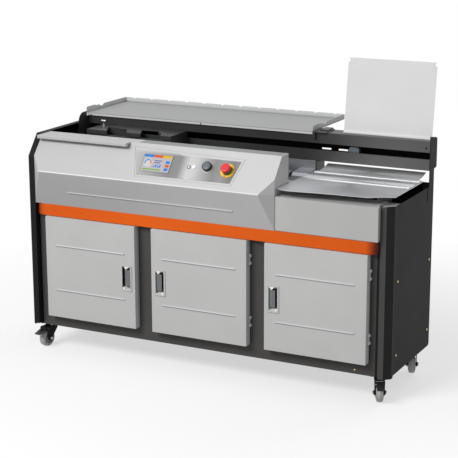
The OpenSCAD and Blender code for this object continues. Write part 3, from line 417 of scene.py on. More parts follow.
@dataclass(frozen=True)
class BrushedPrint:
    """Control panel foil: a brushed metallic print with broad pale and dark bands of painted reflection across
    it.

    The eye sees grey that darkens to both sides of a pale band, with fine upright lines.
    """

    name: str
    x_range_mm: Point
    z_range_mm: Point
    stops: Stops
    edge: str
    line_mm: float = 1.6  # printed lines are near 0.2 mm, drawn coarser so that they show
    line_length_mm: float = 125.0
    roughness: float = 0.4
    gloss_level: float = 0.4

    def make(self) -> bpy.types.Material:
        """Builds the material.

        Returns:
            The material.
        """
        material, tree, place = fresh_material(self.name)
        across = share_along(tree, place, "X", self.x_range_mm)
        upward = share_along(tree, place, "Z", self.z_range_mm)
        # painted reflection: broad pale and dark bands across the foil
        reflection_band = ramp(add_node(tree, "ShaderNodeValToRGB", {}, {"Fac": across}), self.stops)
        long = 1 / (self.line_length_mm * MM)
        stretch = {"Scale": (1 / (self.line_mm * MM), long, long)}
        lines_at = add_node(tree, "ShaderNodeMapping", stretch, {"Vector": place}).outputs["Vector"]
        lines = add_node(
            tree, "ShaderNodeTexNoise", {"Scale": 1.0, "Detail": 3.0}, {"Vector": lines_at}
        ).outputs["Fac"]
        tones = [(0.2, "#e6e6e6"), (0.8, "#ffffff")]
        streaks = ramp(add_node(tree, "ShaderNodeValToRGB", {}, {"Fac": lines}), tones)
        multiply = {"data_type": "RGBA", "blend_type": "MULTIPLY", "Factor": 1.0}
        lined = add_node(tree, "ShaderNodeMix", multiply, {MIX_A: reflection_band, MIX_B: streaks}).outputs[MIX_OUT]
        to_edge = {"data_type": "RGBA", MIX_B: linear(self.edge)}
        faded = add_node(tree, "ShaderNodeMix", to_edge, {"Factor": upward, MIX_A: lined})
        shader = add_node(
            tree,
            "ShaderNodeBsdfPrincipled",
            {"Roughness": self.roughness, "IOR": POLYMER_IOR, "Specular IOR Level": self.gloss_level},
            {"Base Color": faded.outputs[MIX_OUT]},
        )
        add_node(tree, "ShaderNodeOutputMaterial", {}, {"Surface": shader.outputs["BSDF"]})
        return material


@dataclass(frozen=True)
class LitDisplay:
    """One colour of the touch screen's picture, lit from behind a clear sheet.

    The eye sees a glowing tint with a faint pixel grid under a glossy surface.
    """

    name: str
    colour: str
    gap: str
    pixel_mm: float = 1.0  # real pixels are near 0.2 mm, drawn coarser so that they show
    glow: float = 0.75
    roughness: float = 0.25
    gloss_level: float = 0.3
    unlit: str = "#101214"

    def make(self) -> bpy.types.Material:
        """Builds the material.

        Returns:
            The material.
        """
        material, tree, place = fresh_material(self.name)
        columns = {"Scale": 1 / (self.pixel_mm * MM) / BANDS_PER_WAVE, "bands_direction": "X"}
        grid = add_node(tree, "ShaderNodeTexWave", columns, {"Vector": place}).outputs["Fac"]
        tones = [(0.0, self.gap), (0.5, self.colour)]
        tone = ramp(add_node(tree, "ShaderNodeValToRGB", {}, {"Fac": grid}), tones)
        sheet = {"Roughness": self.roughness, "IOR": POLYMER_IOR, "Specular IOR Level": self.gloss_level}
        light = {"Emission Strength": self.glow, "Base Color": linear(self.unlit)}
        shader = add_node(tree, "ShaderNodeBsdfPrincipled", sheet | light, {"Emission Color": tone})
        add_node(tree, "ShaderNodeOutputMaterial", {}, {"Surface": shader.outputs["BSDF"]})
        return material


FINISHES = {
    finish.name: finish
    for finish in (
        PowderCoat("graphite_powder_coat", "#232323", "#202020", 0.5, 0.05),
        PowderCoat("corner_powder_coat", "#303030", "#2d2d2d", 0.5, 0.05),
        PowderCoat("iron_grey_powder_coat", "#494746", "#444342", 0.42, 0.2),
        # The beams carry painted light and shade: dark along most of their length, much lighter towards the
        # right end.
        PowderCoat(
            "beam_powder_coat",
            "#585858",
            "#535353",
            0.4,
            0.25,
            painted_shading=(PaintedShading("X", (-800.0, 800.0), ((0.0, "#a4a4a4"), (0.66, "#969696"), (0.86, "#f0f0f0"))),),
        ),
        PowderCoat("carriage_powder_coat", "#383838", "#343434", 0.42, 0.2),
        # Painted shade on the console's ridge: the console's grey made darker.
        PowderCoat("shaded_powder_coat", "#808385", "#7c7f81", 0.45),
        # The doors carry painted light: a little lighter towards the right end of the machine.
        PowderCoat(
            "door_powder_coat",
            "#c6c6c5",
            "#c2c2c1",
            0.5,
            painted_shading=(PaintedShading("X", (-800.0, 800.0), ((0.0, "#f4f4f4"), (0.5, "#fafafa"), (1.0, "#ffffff"))),),
        ),
        PowderCoat("panel_powder_coat", "#b8b8b7", "#b4b4b3", 0.5),
        # The console carries painted light and shade: darker towards the left, and a little darker below the
        # nose of the slope.
        PowderCoat(
            "console_powder_coat",
            "#c8c8c8",
            "#c4c4c4",
            0.48,
            painted_shading=(
                PaintedShading("X", (-800.0, 330.0), ((0.0, "#e5e5e5"), (0.35, "#ececec"), (0.8, "#ffffff"))),
                PaintedShading("Z", (643.0, 924.0), ((0.5, "#f0f0f0"), (0.52, "#ffffff"))),
            ),
        ),
        # The tray carries painted shade: a darker band at the height of its floor, fading out up its walls.
        PowderCoat(
            "tray_powder_coat",
            "#c8c9c9",
            "#c3c4c4",
            0.5,
            painted_shading=(
                PaintedShading(
                    "Z",
                    (948.0, 980.0),
                    (
                        (0.24, "#ffffff"),
                        (0.28, "#cacaca"),
                        (0.38, "#cacaca"),
                        (0.5, "#f4f4f4"),
                        (0.85, "#ffffff"),
                    ),
                ),
            ),
        ),
        PowderCoat("rack_powder_coat", "#d8d8d8", "#d4d4d4", 0.5),
        # The band carries painted shade: it darkens towards both its ends.
        PowderCoat(
            "orange_powder_coat",
            "#e26010",
            "#de5b0c",
            0.4,
            0.2,
            painted_shading=(
                PaintedShading(
                    "X",
                    (-800.0, 800.0),
                    (
                        (0.014, "#5a4f4b"),
                        (0.045, "#f4f4f4"),
                        (0.3, "#ffffff"),
                        (0.94, "#fafafa"),
                        (0.958, "#9c8a84"),
                        (0.969, "#4a3a35"),
                    ),
                ),
            ),
        ),
        # Painted highlight and painted shade for the strips along the folds and ribs.
        PowderCoat("painted_highlight_powder_coat", "#e1e3e6", "#dcdee1", 0.45),
        PowderCoat("painted_shade_powder_coat", "#8f9091", "#8a8b8c", 0.5),
        # Painted light: the door coat made lighter for the doors' right flanks, their hinges and the hinge pin
        # caps.
        PowderCoat("flank_painted_light_powder_coat", "#dfe1e5", "#d9dbdf", 0.45),
        GroundSteel("polished_sheet_steel", "#acadb0", "#c9cacd", Grain.X, 0.45),
        GroundSteel("blackened_jaw_steel", "#303032", "#3c3c3e", Grain.X, 0.55),
        GroundSteel("satin_cover_steel", "#85868a", "#9b9ca0", Grain.X, 0.5),
        GroundSteel("ground_bar_steel", "#dcdddf", "#f4f5f6", Grain.X, 0.5),
        GroundSteel("ground_shaft_steel", "#a9abae", "#d2d3d5", Grain.X, 0.2, 0.8),
        GroundSteel("zinc_plated_steel", "#9b9da0", "#c2c4c6", Grain.Z, 0.34),
        GroundSteel("turned_steel", "#a5a6a9", "#cdced0", Grain.Y, 0.26, 0.9, 30.0),
        GroundSteel("satin_handle_alloy", "#67686a", "#7d7e80", Grain.Z, 0.4),
        GroundSteel("cast_aluminium", "#8a8b8c", "#a6a7a8", Grain.Z, 0.5, 3.0, 8.0),
        GroundSteel("yellow_passivated_steel", "#c49a6a", "#f0dcc0", Grain.Z, 0.3, 0.8, 4.0),
        GroundSteel("bright_nickel", "#d6d4cc", "#f4f2ea", Grain.Z, 0.16, 0.8, 6.0),
        MouldedPlastic("black_abs", "#1d1e20", "#18191a", 0.42),
        MouldedPlastic("slate_abs", "#5a626b", "#535b64", 0.4),
        MouldedPlastic("pale_abs", "#c4c4c2", "#bcbcba", 0.45),
        MouldedPlastic("grey_abs", "#9c9b9a", "#959493", 0.45),
        MouldedPlastic("lamp_lens_polycarbonate", "#f6f6f4", "#ececea", 0.2, 1.2, 0.1),
        MouldedPlastic("red_abs", "#e0272b", "#d22226", 0.3),
        MouldedPlastic("yellow_abs", "#f2bd08", "#eab404", 0.42),
        MouldedPlastic("green_abs", "#1d7a52", "#186c47", 0.45),
        MouldedPlastic("brown_abs", "#77685e", "#6b5d54", 0.45),
        MouldedPlastic("grey_polyurethane_tread", "#bab9b7", "#b0afad", 0.5, 1.6, 0.05),
        MouldedPlastic("black_nylon_hub", "#242526", "#1f2021", 0.5),
        # The foil's pale and dark bands are painted reflection.
        BrushedPrint(
            "brushed_panel_foil",
            (-311.0, 168.0),
            (890.0, 902.0),
            (
                (0.0, "#b8b8b8"),
                (0.12, "#a8a8a8"),
                (0.38, "#7f7f7f"),
                (0.46, "#868686"),
                (0.54, "#cccccc"),
                (0.6, "#c8c8c8"),
                (0.7, "#a2a2a2"),
                (0.78, "#868686"),
                (0.86, "#939393"),
                (0.95, "#787878"),
                (1.0, "#8c8c8c"),
            ),
            "#bdbdbd",
        ),
        LitDisplay("display_ground", "#dcd6d8", "#cfc9cb"),
        LitDisplay("display_panel", "#f4f0ee", "#e8e4e2"),
        LitDisplay("display_blue", "#1496ff", "#0d86ee"),
        LitDisplay("display_deep_blue", "#1f4fb4", "#1a46a2"),
        LitDisplay("display_orange", "#ff6212", "#f2590c"),
        LitDisplay("display_yellow", "#ffd21a", "#f5c612"),
        LitDisplay("display_green", "#7bc832", "#6fba28"),
    )
}


@cache
def finish(name: str) -> bpy.types.Material:
    """The material of a named finish, built at its first use."""
    return FINISHES[name].make()


@dataclass
class Piece:
    """A visible mesh that rides on one body."""

    name: str
    body: str
    slot: str
    finish_name: str
    edge_mm: float = 0.0
    mesh: bmesh.types.BMesh = field(default_factory=bmesh.new)

    def loop(self, points: Iterable[Vector]) -> list[bmesh.types.BMVert]:
        """Adds a vertex at each point."""
        return [self.mesh.verts.new(point) for point in points]

    def bridge(self, low: Sequence[bmesh.types.BMVert], high: Sequence[bmesh.types.BMVert]) -> None:
        """Joins two closed loops of equal length with faces.

        Args:
            low: The first loop.
            high: The second loop.
        """
        for k in range(len(low)):
            after = (k + 1) % len(low)
            self.mesh.faces.new((low[k], low[after], high[after], high[k]))

    def stack(self, loops: Sequence[list[bmesh.types.BMVert]]) -> "Piece":
        """Closes a form over loops that stand one above the other.

        Args:
            loops: Loops of equal length, from the foot to the top.

        Returns:
            This piece.
        """
        for low, high in zip(loops, loops[1:]):
            self.bridge(low, high)
        self.mesh.faces.new(loops[0][::-1])
        self.mesh.faces.new(loops[-1])
        return self

    def rings(self, place: Matrix, sections: Sequence[Ring], steps: int = 36) -> "Piece":
        """Adds a form that stands on stacked rings about the place's Z axis.

        Args:
            place: Where the axis starts.
            sections: The rings, from the foot to the top.
            steps: Points in each ring.

        Returns:
            This piece.
        """
        loops = []
        for radius, height, flats in sections:
            points = []
            for k in range(steps):
                angle = 2 * math.pi * k / steps
                reach = radius
                if flats:
                    part = math.pi / flats
                    reach = radius * math.cos(part) / math.cos((angle % (2 * part)) - part)
                corner = Vector((reach * math.cos(angle) * MM, reach * math.sin(angle) * MM, height * MM))
                points.append(place @ corner)
            loops.append(self.loop(points))
        return self.stack(loops)

    def hoop(self, place: Matrix, profile: Sequence[Point], steps: int = 48) -> "Piece":
        """Adds a closed ring turned about the place's Z axis.

        Args:
            place: Where the axis starts.
            profile: Radius and height of the points round the section.
            steps: Points round the axis.

        Returns:
            This piece.
        """
        turns = []
        for k in range(steps):
            angle = 2 * math.pi * k / steps
            out = Vector((math.cos(angle), math.sin(angle), 0.0))
            turns.append(self.loop(place @ (out * r * MM + Vector((0, 0, h * MM))) for r, h in profile))
        for here, beyond in zip(turns, turns[1:] + turns[:1]):
            self.bridge(here, beyond)
        return self

    def slab(self, place: Matrix, outline: Sequence[Point], height: float) -> "Piece":
        """Adds a flat form that rises from an outline in the place's own X and Y."""
        levels = (0.0, height * MM)
        return self.stack([self.loop(place @ Vector((x * MM, y * MM, z)) for x, y in outline) for z in levels])

    def panel(self, corners: Sequence[Spot], thickness: float) -> "Piece":
        """Adds a flat sheet from corners given from the plane of the door stiles.

        Args:
            corners: Corners in order, in millimetres.
            thickness: How thick the sheet is, on the side from which the corners run anticlockwise.

        Returns:
            This piece.
        """
        points = [at(*corner).translation for corner in corners]
        rise = (points[1] - points[0]).cross(points[2] - points[0]).normalized() * (thickness * MM)
        return self.stack([self.loop(points), self.loop(point + rise for point in points)])

    def strip(self, plan: Sequence[Point], low: float, high: float, thickness: float) -> "Piece":
        """Adds an upright sheet folded along a line in plan.

        Args:
            plan: Points of the outer face, X and Y from the plane of the door stiles.
            low: Height of its lower edge.
            high: Height of its upper edge.
            thickness: How thick the sheet is, to the left of the line.

        Returns:
            This piece.
        """
        outer = [Vector(point) for point in plan]
        inner = []
        for k, point in enumerate(outer):
            run = (outer[min(k + 1, len(outer) - 1)] - outer[max(k - 1, 0)]).normalized()
            inner.append(point + Vector((-run.y, run.x)) * thickness)
        return self.slab(at(0, 0, low), [tuple(point) for point in outer + inner[::-1]], high - low)

    def block(self, place: Matrix, width: float, depth: float, height: float) -> "Piece":
        """Adds a slab with a rectangular outline centred on the place."""
        return self.slab(place, box_outline(-width / 2, -depth / 2, width / 2, depth / 2), height)

    def screw(self, place: Matrix, head: Point) -> "Piece":
        """Adds a domed head with a hexagon socket."""
        radius, height = head
        return self.rings(place, [(radius * r, height * h, flats) for r, h, flats in SOCKET_HEAD])

    def place(self) -> bpy.types.Object:
        """Writes the mesh, gives it its finish and puts it on its body.

        Returns:
            The object.
        """
        bmesh.ops.recalc_face_normals(self.mesh, faces=self.mesh.faces)
        smooth = math.radians(SMOOTH_DEGREES)
        for face in self.mesh.faces:
            face.smooth = True
        for edge in self.mesh.edges:
            edge.smooth = len(edge.link_faces) == 2 and edge.calc_face_angle(0.0) < smooth
        data = bpy.data.meshes.new(self.name)
        self.mesh.to_mesh(data)
        self.mesh.free()
        data.materials.append(finish(self.finish_name))
        made = bpy.data.objects.new(self.name, data)
        bpy.context.scene.collection.objects.link(made)
        if self.edge_mm:
            soften(made, self.edge_mm)
        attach(made, self.body)
        LOG.info("%s rides on %s", self.name, self.body)
        return made


def soften(piece: bpy.types.Object, edge_mm: float) -> None:
    """Rounds the sharp edges of a piece.

    Args:
        piece: The object that gets the modifier.
        edge_mm: Width of the rounding.
    """
    rounding = piece.modifiers.new("round_edges", "BEVEL")
    rounding.width = edge_mm * MM
    rounding.segments = ROUND_SEGMENTS
    rounding.limit_method = "ANGLE"
    rounding.angle_limit = math.radians(ROUND_DEGREES)
    rounding.use_clamp_overlap = True
    rounding.harden_normals = True


def dress(nodes: Sequence[str], finish_name: str, edge: Edge = Edge.SHARP) -> None:
    """Gives solids of the frame their finish and the soft edges of folded sheet.

    Args:
        nodes: Names of the solids.
        finish_name: Their finish.
        edge: How far their edges are rounded.
    """
    for name in nodes:
        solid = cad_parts[name]
        solid.data.materials.clear()
        solid.data.materials.append(finish(finish_name))
        if edge is not Edge.SHARP:
            weld = solid.modifiers.new("join_faces", "WELD")
            weld.merge_threshold = WELD_MM * MM
            flats = solid.modifiers.new("join_flats", "DECIMATE")
            flats.decimate_type = "DISSOLVE"
            flats.angle_limit = math.radians(FLAT_DEGREES)
            soften(solid, edge.value)
        LOG.info("%s dressed in %s", name, finish_name)


@dataclass
class Viewpoint:
    """Camera at the photograph's place, in metres and degrees."""

    place: Spot = (2.6269, -5.2847, 2.0218)
    yaw: float = 26.852
    pitch: float = 14.161
    roll: float = -0.173
    focal_mm: float = 114.44
    sensor_mm: float = 36.0
    reach: float = 200.0

    def build(self) -> None:
        """Creates the camera and makes it the scene's own."""
        lens = bpy.data.cameras.new("viewpoint")
        lens.lens = self.focal_mm
        lens.sensor_width = self.sensor_mm
        lens.clip_end = self.reach
        camera = bpy.data.objects.new("viewpoint", lens)
        bpy.context.scene.collection.objects.link(camera)
        aim = turned(self.yaw, "Z") @ turned(90 - self.pitch, "X") @ turned(self.roll, "Z")
        camera.matrix_world = Matrix.Translation(self.place) @ aim
        bpy.context.scene.camera = camera


@dataclass
class Softbox:
    """Large studio lamp, in metres."""

    name: str
    place: Spot
    target: Spot
    size: Point
    watts: float

    def build(self) -> None:
        """Creates the lamp and turns it to its target."""
        lamp = bpy.data.lights.new(self.name, "AREA")
        lamp.shape = "RECTANGLE"
        lamp.size, lamp.size_y = self.size
        lamp.energy = self.watts
        holder = bpy.data.objects.new(self.name, lamp)
        holder.location = self.place
        aim = Vector(self.target) - Vector(self.place)
        holder.rotation_euler = aim.to_track_quat("-Z", "Y").to_euler()
        bpy.context.scene.collection.objects.link(holder)


@dataclass
class Studio:
    """Pale floor, white surroundings and soft lamps, in metres."""

    ambient: float = 0.35
    floor_radius: float = 60.0
    floor_sides: int = 96
    floor_glow: float = 0.6
    floor_shade: str = "#a8a8a8"
    floor_white: str = "#fafafa"
    fade_start: float = 0.9
    fade_end: float = 2.2
    grit_scale: float = 300.0
    grit_depth: float = 0.0002
    grit_strength: float = 0.05
    lamps: tuple[Softbox, ...] = (
        Softbox("key_softbox", (-1.7, -4.4, 4.1), (0.0, -0.2, 0.7), (3.2, 2.0), 270.0),
        Softbox("rear_softbox", (1.2, 3.4, 3.6), (0.0, 0.2, 0.8), (3.0, 1.6), 50.0),
    )

    def build(self) -> None:
        """Creates the surroundings, the lamps and the floor."""
        self.surroundings()
        for lamp in self.lamps:
            lamp.build()
        self.floor()

    def by_ray(self, tree: Tree) -> Socket:
        """Brightness of the surroundings: white to the camera, in gloss and through glass, low on matt paint.

        Args:
            tree: The node tree that gets the nodes.

        Returns:
            The brightness.
        """
        rays = add_node(tree, "ShaderNodeLightPath").outputs
        seen = rays["Is Glossy Ray"]
        for kind in ("Is Transmission Ray", "Is Camera Ray"):
            either = add_node(tree, "ShaderNodeMath", {"operation": "MAXIMUM"}, {0: seen, 1: rays[kind]})
            seen = either.outputs["Value"]
        levels = {"To Min": self.ambient, "To Max": 1.0}
        return add_node(tree, "ShaderNodeMapRange", levels, {"Value": seen}).outputs["Result"]

    def surroundings(self) -> None:
        """Plain surroundings on all sides."""
        world = bpy.data.worlds.new("studio")
        world.use_nodes = True
        tree = world.node_tree
        tree.nodes.clear()
        white = {"Color": linear("#ffffff")}
        glow = add_node(tree, "ShaderNodeBackground", white, {"Strength": self.by_ray(tree)})
        add_node(tree, "ShaderNodeOutputWorld", {}, {"Surface": glow.outputs["Background"]})
        bpy.context.scene.world = world

    def floor(self) -> None:
        """A matt floor that keeps the shadow near the machine and runs out to plain white."""
        mesh = bmesh.new()
        bmesh.ops.create_circle(mesh, cap_ends=True, segments=self.floor_sides, radius=self.floor_radius)
        data = bpy.data.meshes.new("studio_floor")
        mesh.to_mesh(data)
        mesh.free()
        floor = bpy.data.objects.new("studio_floor", data)
        bpy.context.scene.collection.objects.link(floor)
        material, tree, place = fresh_material("white_floor_paint")
        reach = add_node(tree, "ShaderNodeVectorMath", {"operation": "LENGTH"}, {"Vector": place})
        limits = {"From Min": self.fade_start, "From Max": self.fade_end, "To Min": self.floor_glow}
        fade = add_node(tree, "ShaderNodeMapRange", limits, {"Value": reach.outputs["Value"]})
        grit = add_node(tree, "ShaderNodeTexNoise", {"Scale": self.grit_scale}, {"Vector": place})
        relief = {"Strength": self.grit_strength, "Distance": self.grit_depth}
        bump = add_node(tree, "ShaderNodeBump", relief, {"Height": grit.outputs["Fac"]})
        level = self.by_ray(tree)
        tones = [(self.ambient, self.floor_shade), (1.0, self.floor_white)]
        tone = ramp(add_node(tree, "ShaderNodeValToRGB", {}, {"Fac": level}), tones)
        matt = add_node(tree, "ShaderNodeBsdfDiffuse", {}, {"Normal": bump.outputs["Normal"], "Color": tone})
        white = add_node(tree, "ShaderNodeEmission", {}, {"Strength": level})
        shaders = {0: fade.outputs["Result"], 1: matt.outputs["BSDF"], 2: white.outputs["Emission"]}
        mixed = add_node(tree, "ShaderNodeMixShader", {}, shaders)
        add_node(tree, "ShaderNodeOutputMaterial", {}, {"Surface": mixed.outputs["Shader"]})
        data.materials.append(material)


@dataclass
class Cabinet:
    """Frame, side panels, rear wall, band and the small fasteners on them."""

    length: float = 1600.0
    depth: float = 457.0
    side_screw_y: Point = (72.0, 429.0)
    side_screw_z: Point = (473.5, 179.0)
    side_head: Point = (4.6, 2.0)
    plinth_screw: Point = (659.8, 121.8)
    plinth_head: Point = (3.6, 2.0)
    plinth_hole: Point = (-11.3, 120.5)
    plinth_plug: tuple[Ring, ...] = ((4.0, 0.0, 0), (3.8, 0.4, 0), (3.0, 0.8, 0))
    plinth_y: float = 0.2
    plug_steps: int = 24
    band_z: Point = (594.3, 642.7)
    band_bend_x: float = -728.0
    band_bend: Point = (45.0, 26.6)
    band_steps: int = 12
    band_out: float = 0.1
    band_sheet: float = 1.2
    side_x: float = 800.6
    corner_x: Point = (752.6, 776.0)
    corner_y: float = -0.5
    corner_z: Point = (97.5, 776.4)
    corner_return: float = 16.0
    corner_sheet: float = 0.7
    rear_rim: Point = (130.0, 765.0)
    rear_margin: float = 30.0
    rear_columns: int = 7
    rear_head: Point = (4.2, 2.2)
    inlet: Point = (-640.0, 190.0)
    pins: tuple[Point, ...] = ((-7.0, -2.0), (0.0, 3.0), (7.0, -2.0))
    pin_depth: float = 22.5
    pin_size: Spot = (2.0, 5.0, 16.0)

    def dress(self) -> None:
        """Gives the cabinet's solids their finishes."""
        dress(["cabinet_frame"], "iron_grey_powder_coat", Edge.PANEL)
        dress(["left_side_panel", "right_side_panel"], "graphite_powder_coat", Edge.PANEL)
        dress(["rear_cover", "machine_deck"], "graphite_powder_coat")
        dress(["front_band"], "orange_powder_coat", Edge.PANEL)
        dress(["right_front_panel"], "panel_powder_coat", Edge.PANEL)
        dress(["electrical_box"], "door_powder_coat", Edge.CASE)
        dress(["power_inlet"], "black_abs", Edge.FOLDED)

    def build(self) -> None:
        """Builds the fasteners, the band's end, the corner's folds and the inlet's pins."""
        screws = Piece("side_panel_screws", Body.BASE.value, "steel", "yellow_passivated_steel")
        for x, facing in ((self.length / 2, Facing.RIGHT), (-self.length / 2, Facing.LEFT)):
            for y in self.side_screw_y:
                for z in self.side_screw_z:
                    screws.screw(at(x, y, z, facing), self.side_head)
        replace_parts(screws.place(), "panel_screws")
        x, z = self.plinth_screw
        plinth = Piece("plinth_screw", Body.BASE.value, "steel", "yellow_passivated_steel")
        plinth.screw(at(x, self.plinth_y, z, Facing.FRONT), self.plinth_head).place()
        x, z = self.plinth_hole
        plug = Piece("plinth_plug", Body.BASE.value, "black", "black_abs")
        plug.rings(at(x, self.plinth_y, z, Facing.FRONT), self.plinth_plug, self.plug_steps).place()
        self.band_end()
        self.corner_fold()
        self.rear_fasteners()
        self.inlet_pins()

    def band_end(self) -> None:
        """Left end of the band, bent back to the side flange."""
        reach_x, reach_y = self.band_bend
        turn = arc(0, 0, 1, 180, 270, self.band_steps)
        plan = [(self.band_bend_x + reach_x * x, reach_y * y - self.band_out) for x, y in turn]
        end = Piece("band_end_left", Body.BASE.value, "orange", "orange_powder_coat")
        end.strip(plan, *self.band_z, self.band_sheet).place()

    def corner_fold(self) -> None:
        """Front strip and chamfer of the right corner."""
        start, fold = self.corner_x
        front = (fold, self.corner_y)
        back_y = self.corner_y + self.side_x - fold
        chamfer = [front, (self.side_x, back_y), (self.side_x, back_y + self.corner_return)]
        for name, finish_name, plan in (
            ("right_stile_strip", "iron_grey_powder_coat", [(start, self.corner_y), front]),
            ("right_corner_fold", "corner_powder_coat", chamfer),
        ):
            sheet = Piece(name, Body.BASE.value, "dark", finish_name)
            sheet.strip(plan, *self.corner_z, self.corner_sheet).place()

    def rear_fasteners(self) -> None:
        """Screws round the rim of the rear wall."""
        rim = Piece("rear_wall_screws", Body.BASE.value, "steel", "zinc_plated_steel")
        span = self.length - 2 * self.rear_margin
        for k in range(self.rear_columns):
            x = -self.length / 2 + self.rear_margin + k * span / (self.rear_columns - 1)
            for z in self.rear_rim:
                rim.screw(at(x, self.depth, z, Facing.REAR), self.rear_head)
        rim.place()

    def inlet_pins(self) -> None:
        """Three flat pins in the mains inlet."""
        x, z = self.inlet
        pins = Piece("inlet_pins", Body.BASE.value, "steel", "bright_nickel")
        for dx, dz in self.pins:
            pins.block(at(x + dx, self.depth - self.pin_depth, z + dz, Facing.REAR), *self.pin_size)
        pins.place()


@dataclass
class Door:
    """A door pan with its recessed pull handle, at the right on the left door, else at the left."""

    index: int
    side: str
    width: float = 427.1667
    first_x: float = -720.5
    pitch: float = 505.1667
    face_y: float = -36.8
    bottom: float = 159.0
    height: float = 433.0
    chamfer: float = 9.0
    edge_skin: float = 0.03
    edge_round: float = 0.6
    handle_inset: float = 39.0
    handle_z: float = 372.0
    handle_size: Point = (50.0, 110.0)
    well_depth: float = 13.4
    well_rim: float = 6.3
    mouth: Point = (2.8, 6.4)  # how far out it lies, and how far in from the handle's ends
    floor_rim: float = 18.2
    lining: Point = (0.6, 0.4)  # gauge of the floor and of the wall
    facet_out: float = 1.4
    facet_sheet: float = 0.5
    facet_left: Spot = (-11.0, -4.5, 15.0)
    facet_others: Spot = (-18.5, -7.0, 7.0)
    facet_drop: float = 13.4
    foot_size: Point = (11.0, 9.0)
    foot_rise: float = 5.0
    flank_inset: float = 0.5
    flank_sheet: float = 0.09
    flank_notch: float = -25.0
    flank_back: float = -13.6
    hinge_clear: tuple[float, float, float, float] = (226.0, 284.0, 481.0, 539.0)
    rib_levels: Point = (120.5, 313.0)
    rib_margin: float = 47.0
    rib_sheet: float = 0.25
    # Strips of painted highlight and painted shade along the ribs.
    rib_strips: tuple[tuple[str, str, float, float, float, float], ...] = (
        # piece, finish, height over the rib's level, how much shorter, how high, how far out
        ("rib_painted_highlights", "painted_highlight_powder_coat", 0.7, 5.0, 3.2, 2.3),
        ("rib_painted_shades", "painted_shade_powder_coat", -3.2, 4.0, 3.0, 1.6),
    )

    def dress(self) -> None:
        """Gives the door and its handle their finishes."""
        dress([f"door_{self.side}", f"handle_bezel_{self.side}"], "door_powder_coat", Edge.FOLDED)
        dress([f"handle_paddle_{self.side}"], "satin_handle_alloy", Edge.PRESSED)

    def build(self) -> None:
        """Builds the edges, the handle's well, the painted light on the flank and the painted highlight and
        shade lines on the ribs.
        """
        self.square_edges()
        self.handle_well()
        self.flank()
        self.rib_lines()

    def left(self) -> float:
        """The door's left edge."""
        return self.first_x + self.index * self.pitch

    def piece(self, name: str, slot: str, finish_name: str, edge_mm: float = 0.0) -> Piece:
        """A piece that swings with the door."""
        return Piece(f"{name}_{self.side}", f"door_{self.side}_body", slot, finish_name, edge_mm)

    def square_edges(self) -> None:
        """Fills the chamfers of the pan, so that its flanks fold square from the front."""
        front, back = self.face_y - self.edge_skin, self.face_y + self.chamfer
        edge = self.piece("door_edges", "grey", "door_powder_coat", self.edge_round)
        loops = []
        for inset, y in ((-self.edge_skin, front), (-self.edge_skin, back), (self.chamfer, front)):
            x0, x1 = self.left() + inset, self.left() + self.width - inset
            z0, z1 = self.bottom + inset, self.bottom + self.height - inset
            loops.append(edge.loop(at(x, y, z).translation for x, z in box_outline(x0, z0, x1, z1)))
        for low, high in zip(loops, loops[1:] + loops[:1]):
            edge.bridge(low, high)
        edge.place()

    def handle_well(self) -> None:
        """Dark lining of the handle's recess and its bright upper and lower facets."""
        width, height = self.handle_size
        x = self.left() + (self.handle_inset if self.index else self.width - self.handle_inset)
        half = width / 2 - self.well_rim
        mouth_out, mouth_rim = self.mouth
        mouth_y, floor_y = self.face_y - mouth_out, self.face_y + self.well_depth
        reach = height / 2 - self.floor_rim
        top, low = self.handle_z + (height / 2 - mouth_rim), self.handle_z - (height / 2 - mouth_rim)
        floor_sheet, wall_sheet = self.lining
        finger = 1 if self.index else -1
        wall = x + finger * half
        lining = self.piece("handle_well", "black", "black_abs")
        lining.block(at(x, floor_y, self.handle_z, Facing.FRONT), 2 * half, 2 * reach, floor_sheet)
        deep_top, deep_low = self.handle_z + reach, self.handle_z - reach
        side = ((mouth_y, low), (mouth_y, top), (floor_y, deep_top), (floor_y, deep_low))
        lining.panel([(wall, y, z) for y, z in side], wall_sheet * finger).place()
        facets = self.piece("handle_facets", "steel", "bright_nickel")
        near = self.face_y - self.facet_out
        left, tip, right = self.facet_others if self.index else self.facet_left
        crest = [(x + left, near, top), (x + tip, near, top - self.facet_drop), (x + right, near, top)]
        facets.panel(crest, self.facet_sheet)
        foot_x = (wall + (wall - finger * self.foot_size[0])) / 2
        foot = at(foot_x, near, low + self.foot_rise, Facing.FRONT)
        facets.block(foot, *self.foot_size, self.facet_sheet).place()

    def flank(self) -> None:
        """Skin of the right flank in a lighter coat than the door's, as painted light, which leaves out the
        hinges there.
        """
        x = self.left() + self.width - self.edge_skin
        low, high = self.bottom + self.flank_inset, self.bottom + self.height - self.flank_inset
        cuts = (low, *self.hinge_clear, high) if self.index else (low, high)
        bands = [(self.face_y, self.flank_notch, low, high)]
        bands += [(self.flank_notch, self.flank_back, *ends) for ends in zip(cuts[::2], cuts[1::2])]
        skin = self.piece("door_flank_painted_light", "grey", "flank_painted_light_powder_coat")
        for y0, y1, z0, z1 in bands:
            skin.panel([(x, y, z) for y, z in box_outline(y0, z0, y1, z1)], self.flank_sheet)
        skin.place()

    def rib_lines(self) -> None:
        """Painted highlight on the crest and painted shade on the foot of the door's two pressed ribs."""
        x = self.left() + self.width / 2
        length = self.width - 2 * self.rib_margin
        for name, finish_name, offset, shorter, tall, out in self.rib_strips:
            line = self.piece(name, "grey", finish_name)
            for level in self.rib_levels:
                middle = at(x, self.face_y - out, self.bottom + level + offset, Facing.FRONT)
                line.block(middle, length - shorter, tall, self.rib_sheet)
            line.place()


